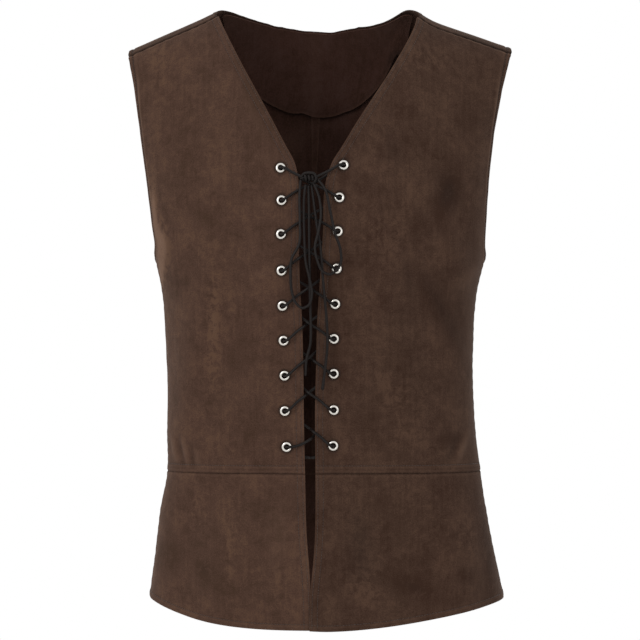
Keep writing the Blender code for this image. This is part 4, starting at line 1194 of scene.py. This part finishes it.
bpy.ops.mesh.primitive_circle_add(vertices=EYELET_STEPS, radius=EYELET_PROFILE[0][0] * MM)
eyelet = bpy.context.object
bpy.ops.object.mode_set(mode="EDIT")
bpy.ops.transform.translate(value=(0, 0, EYELET_PROFILE[0][1] * MM))
for (radius, height), (to_radius, to_height) in zip(EYELET_PROFILE, EYELET_PROFILE[1:] + EYELET_PROFILE[:1]):
    bpy.ops.mesh.extrude_region_move(TRANSFORM_OT_translate={"value": (0, 0, (to_height - height) * MM)})
    bpy.ops.transform.resize(value=(to_radius / radius, to_radius / radius, 1))
bpy.ops.mesh.select_all(action="SELECT")
bpy.ops.mesh.remove_doubles(threshold=0.000002)
bpy.ops.mesh.normals_make_consistent(inside=False)
bpy.ops.object.mode_set(mode="OBJECT")
eyelet.data.shade_smooth()
eyelet.data.materials.append(nickel)
for (side, number), place in eyelet_places.items():
    label = f"{dict(SIDES)[side]}_{number}"
    ring = add_object(f"nickel_eyelet_{label}", eyelet.data.copy())
    turn = Vector(outward(*place)).to_track_quat("Z", "Y").to_matrix().to_4x4()
    turn.translation = Vector(cloth_point(*place)) * MM
    ring.data.transform(turn)
    fix_on(ring, f"eyelet_{label}")
bpy.data.objects.remove(eyelet)


# One black braided polyester cord, 3 mm round, laces the fronts. It starts as a straight bar inside
# the lowest pair and crosses up from eyelet to eyelet, over on one half and under on the other.
LACE_DIAMETER = 3.0
LACE_OVER = 2.8
LACE_AT_EDGE = 2.5
LACE_UNDER = -4.6
LACE_UNDER_EDGE = -3.7
LACE_PAST_EDGE = 1.2
GAP_CROSSING = {1: 2.9, -1: -4.9}
KNOT_CROSSING = {1: -2.3, -1: -6.9}
KNOT_LEAD_OUT = 0.8
BAR_DROP = 12
BAR_HALF = 16
BAR_SHARE_POWER = 2.2
CORD_STEP = 0.8
CORD_SIDES = 14
KNOT = (-12.0, -195.5, 4.5)
KNOT_HALF_WIDTH = 9.5

# The lace's way through an eyelet: how far away from the centre, and how far out of the cloth
EYELET_PASS = ((-1.6, -5), (0.9, -2.6), (0.3, 0.6), (-1.4, 2.9))

# Braided polyester, nearly matt: eight strands, four each way round the cord, 3.4 mm for a turn
BRAID_TURN = 0.0034
BRAID_STRANDS = 4
braid_cord, tree, surface = new_material("black_braided_polyester_cord")
place = add_node(tree, "SeparateXYZ", {"Vector": add_node(tree, "UVMap", {}, uv_map="braid")})
waves = []
for lean in (2 * math.pi, -2 * math.pi):
    slope = add_node(tree, "Math", {0: place.outputs["Y"], 1: lean / BRAID_TURN}, operation="MULTIPLY")
    turns = {0: place.outputs["X"], 1: 2 * math.pi * BRAID_STRANDS, 2: slope}
    angle = add_node(tree, "Math", turns, operation="MULTIPLY_ADD")
    waves.append(add_node(tree, "Math", {0: angle}, operation="SINE"))
braid = add_node(tree, "Math", {0: waves[0], 1: waves[1]}, operation="MULTIPLY")
depth = add_node(tree, "MapRange", {"Value": braid, "From Min": -1, "From Max": 1})
# The braid's hollows are painted darker as shade and its crowns paler as painted highlight.
colour = add_node(tree, "ValToRGB", {"Fac": depth})
set_stops(colour, (0.2, 0.8), ("#050302", "#1b1412"))
strands = add_node(tree, "Bump", {"Height": depth, "Strength": 0.5, "Distance": 0.0003})
set_inputs(surface, {"Base Color": colour, "Normal": strands, "Roughness": 0.55, "Specular IOR Level": 0.17})


def smooth_route(route):
    """Points along a smooth curve through route points, about CORD_STEP apart."""
    route = np.array([tuple(p) for p in route], float)
    runs = run_lengths(route)
    places = np.linspace(0, runs[-1], max(2, round(runs[-1] / CORD_STEP)) + 1)
    return np.stack([smooth_curve(runs, route[:, axis])(places) for axis in range(3)], axis=-1)


def tube(points, radius):
    """Points, faces and UV of a round cord along a line, with rounded ends. radius may vary."""
    ahead = unit(np.gradient(points, axis=0))
    radius = np.broadcast_to(np.asarray(radius, float), len(points))
    side = np.cross(ahead[0], (0.31, 0.2, 0.93))
    sides = []
    for along in ahead:
        side = unit(side - along * np.dot(side, along))
        sides.append(side)
    cap = np.radians([25, 50, 75])
    start = points[0] - ahead[0] * radius[0] * np.sin(cap[::-1, None])
    end = points[-1] + ahead[-1] * radius[-1] * np.sin(cap[:, None])
    centres = np.concatenate([start, points, end])
    radii = np.concatenate([radius[0] * np.cos(cap[::-1]), radius, radius[-1] * np.cos(cap)])
    sides, ups = (v[[0] * 3 + [*range(len(v))] + [-1] * 3] for v in (np.array(sides), np.cross(ahead, sides)))
    angles = np.linspace(0, 2 * math.pi, CORD_SIDES, endpoint=False)[:, None]
    spokes = sides[:, None] * np.cos(angles) + ups[:, None] * np.sin(angles)
    rings = (centres[:, None] + spokes * radii[:, None, None]).reshape(-1, 3) * MM
    number = np.arange(len(rings)).reshape(-1, CORD_SIDES)
    faces, corners = [], []
    along = run_lengths(centres) * MM
    for ring, further, v, u in zip(number, number[1:], along, along[1:]):
        for j in range(CORD_SIDES):
            k = (j + 1) % CORD_SIDES
            faces.append((ring[j], ring[k], further[k], further[j]))
            a, b = j / CORD_SIDES, (j + 1) / CORD_SIDES
            corners += [(a, v), (b, v), (b, u), (a, u)]
    for ring, v in ((number[0][::-1], along[0]), (number[-1], along[-1])):
        faces.append(tuple(ring))
        corners += [(j % CORD_SIDES / CORD_SIDES, v) for j in ring]
    return rings, faces, corners


def cord(name, node, strands):
    """A piece of cord from one strand or more, each its points and its radius."""
    points, faces, corners = [], [], []
    for line, radius in strands:
        rings, ring_faces, ring_corners = tube(line, radius)
        start = sum(len(part) for part in points)
        points.append(rings)
        faces += [tuple(int(i) + start for i in face) for face in ring_faces]
        corners += ring_corners
    made = new_piece(name, np.concatenate(points), faces, [braid_cord])
    made.data.uv_layers.new(name="braid").data.foreach_set("uv", np.array(corners, dtype=np.float32).ravel())
    fix_on(made, node)
    return made


def lacing_route(side, in_front):
    """The route of one half of the lace, from the bar behind the lowest pair to the top eyelet."""
    places = {key: Vector(cloth_point(*place)) for key, place in eyelet_places.items()}
    bar_z = EYELET_ROWS[-1][0] - BAR_DROP
    from_centre = (LACE_DIAMETER + 2 * SEAM_GAP) / 3
    route = [
        on_front(CENTRE_SHIFT + side * from_centre, bar_z, LACE_UNDER),
        on_front(CENTRE_SHIFT + side * BAR_HALF, bar_z + LACE_DIAMETER, LACE_UNDER),
    ]
    for number in range(len(EYELET_ROWS), 0, -1):
        here = places[side, number]
        route += [on_front(here.x + side * aside, here.z, out) for aside, out in EYELET_PASS]
        if number == 1:
            break
        there = places[-side, number - 1]
        other_way = (places[-side, number].xz, places[side, number - 1].xz)
        middle = geometry.intersect_line_line_2d(here.xz, there.xz, *other_way)
        own_edge = edge_at[side](here.z)
        far_edge = edge_at[-side](there.z)
        crossing = KNOT_CROSSING if number == 2 else GAP_CROSSING
        for x, out in (
            (own_edge + side * 1.7 * LACE_DIAMETER, LACE_OVER),
            (own_edge - side * LACE_PAST_EDGE, LACE_AT_EDGE),
            (middle.x, crossing[in_front]),
            (far_edge + side * LACE_PAST_EDGE, LACE_UNDER_EDGE),
            (far_edge - side * 2 * LACE_DIAMETER, LACE_UNDER),
        ):
            share = (x - here.x) / (there.x - here.x)
            if number == len(EYELET_ROWS) and side < 0:
                share = share**BAR_SHARE_POWER
            route.append(on_front(x, here.z + (there.z - here.z) * share, out))
        side = -side
    return route, side


for first_side, in_front, label in ((-1, 1, "right"), (1, -1, "left")):
    route, last_side = lacing_route(first_side, in_front)
    knot_side = KNOT[0] + last_side * (KNOT_HALF_WIDTH + SEAM_GAP)
    end = on_front(knot_side - last_side * 3.5, KNOT[1], KNOT[2])
    middle = (route[-1] + end) / 2 + Vector((0, -KNOT_LEAD_OUT, 0))
    line = smooth_route([*route, middle, end])
    cord(f"laced_cord_from_{label}", f"lace_from_{label}", [(line, LACE_DIAMETER / 2)])


# The knot of the bow is the same cord drawn tight: two turns round a middle strand and one strand
# that goes over the top and down. Its routes are X and Z beside the knot's centre, and how far out.
WRAP_TURNS = 2.35
WRAP_START = 0.6
WRAP_HALF = (4.6, 3.4, 3.1)
CORE = ((-8.6, -0.8, 0), (-4, 0.3, 0), (0, 0.2, 0), (4, -0.2, 0), (8.6, 0.6, 0))
OVER = (
    (-8.4, 1.2, 0.5), (-5.5, 3.9, 2.4), (0.5, 4.4, 4.2), (5.8, 3.0, 4.6), (7.6, -1.0, 3.8), (6.0, -5.4, 1.6),
)
turned = np.linspace(0, 1, 90)
angle = 2 * math.pi * WRAP_TURNS * turned + WRAP_START
wrap = np.stack([2 * turned - 1, np.cos(angle), np.sin(angle)], axis=-1) * WRAP_HALF
wrap, core, over = (
    [on_front(KNOT[0] + x, KNOT[1] + z, KNOT[2] + out) for x, z, out in strand]
    for strand in (wrap, CORE, OVER)
)
strands = (np.array(wrap), smooth_route(core), smooth_route(over))
cord("bow_knot", "lace_knot", [(line, LACE_DIAMETER / 2) for line in strands])


# The bow's two loops and two free ends hang from the knot. Exits: under the knot and beside it.
# Cord 3 mm, limp. Loops come back into the knot, and the free ends are cut and sealed by heat.
# Each route gives X and Z, and how far out of the cloth.
SEAL_LENGTH = 14
LOOP_RIGHT = (
    (-21.3, -199, 5.4), (-22.4, -214, 7.4), (-22, -242, 7.8), (-23, -269, 7.8), (-31, -285, 7.6),
    (-32, -301, 7.6), (-30.2, -321, 7.8), (-26, -332, 8.8), (-19, -337, 10.2), (-12.4, -334, 10.8),
    (-9, -323, 10.8), (-11, -308, 10.2), (-15.6, -287, 8.8), (-17, -264, 7.8), (-17.7, -236, 7.8),
    (-17.5, -218, 7.6), (-16.0, -204.6, 6.6),
)
LOOP_LEFT = (
    (-2.3, -198, 5.4), (4.5, -207, 7.4), (11, -232, 7.8), (16.5, -257, 7.8), (22.3, -275, 7.8),
    (22, -290, 7.8), (17.5, -297, 8.0), (10.5, -301, 8.8), (3, -298, 10.2), (-3, -286, 10.8),
    (-5.5, -273, 10.8), (-1.5, -254, 10.8), (0.9, -238, 10.0), (-1.0, -218, 8.6), (-6.0, -204.0, 7.0),
)
END_RIGHT = (
    (-12.8, -204.9, 4.0), (-12.3, -222, 5.8), (-12.0, -252, 6.6), (-11.6, -282, 6.6), (-11.2, -312, 6.6),
    (-10.6, -337, 6.8), (-10, -357, 7.0), (-10.8, -378, 7.2), (-14.6, -393, 7.2), (-15.8, -411, 7.2),
)
END_LEFT = (
    (-9.2, -204.7, 4.0), (-6.9, -222, 5.8), (-3.5, -247, 6.6), (0.6, -273, 6.8), (2.6, -299, 7.0),
    (5.4, -330, 7.2), (7.6, -356, 7.4), (7.8, -382, 7.4), (5.8, -402, 7.4), (2.8, -426, 7.2),
)
for part, route, far_end, wider_tip in (
    ("loop_right", LOOP_RIGHT, "object", 0),
    ("loop_left", LOOP_LEFT, "object", 0),
    ("end_right", END_RIGHT, "bare", -0.25),
    ("end_left", END_LEFT, "bare", 0.3),
):
    line = smooth_route([on_front(*place) for place in route])
    runs = run_lengths(line)
    radius = LACE_DIAMETER / 2 + wider_tip * np.clip(1 - (runs[-1] - runs) / SEAL_LENGTH, 0, 1)
    piece = cord(f"bow_{part}", f"lace_{part}", [(line, radius)])

low_and_high = [[list(map(float, corner)) for corner in box] for box in (cad_box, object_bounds())]
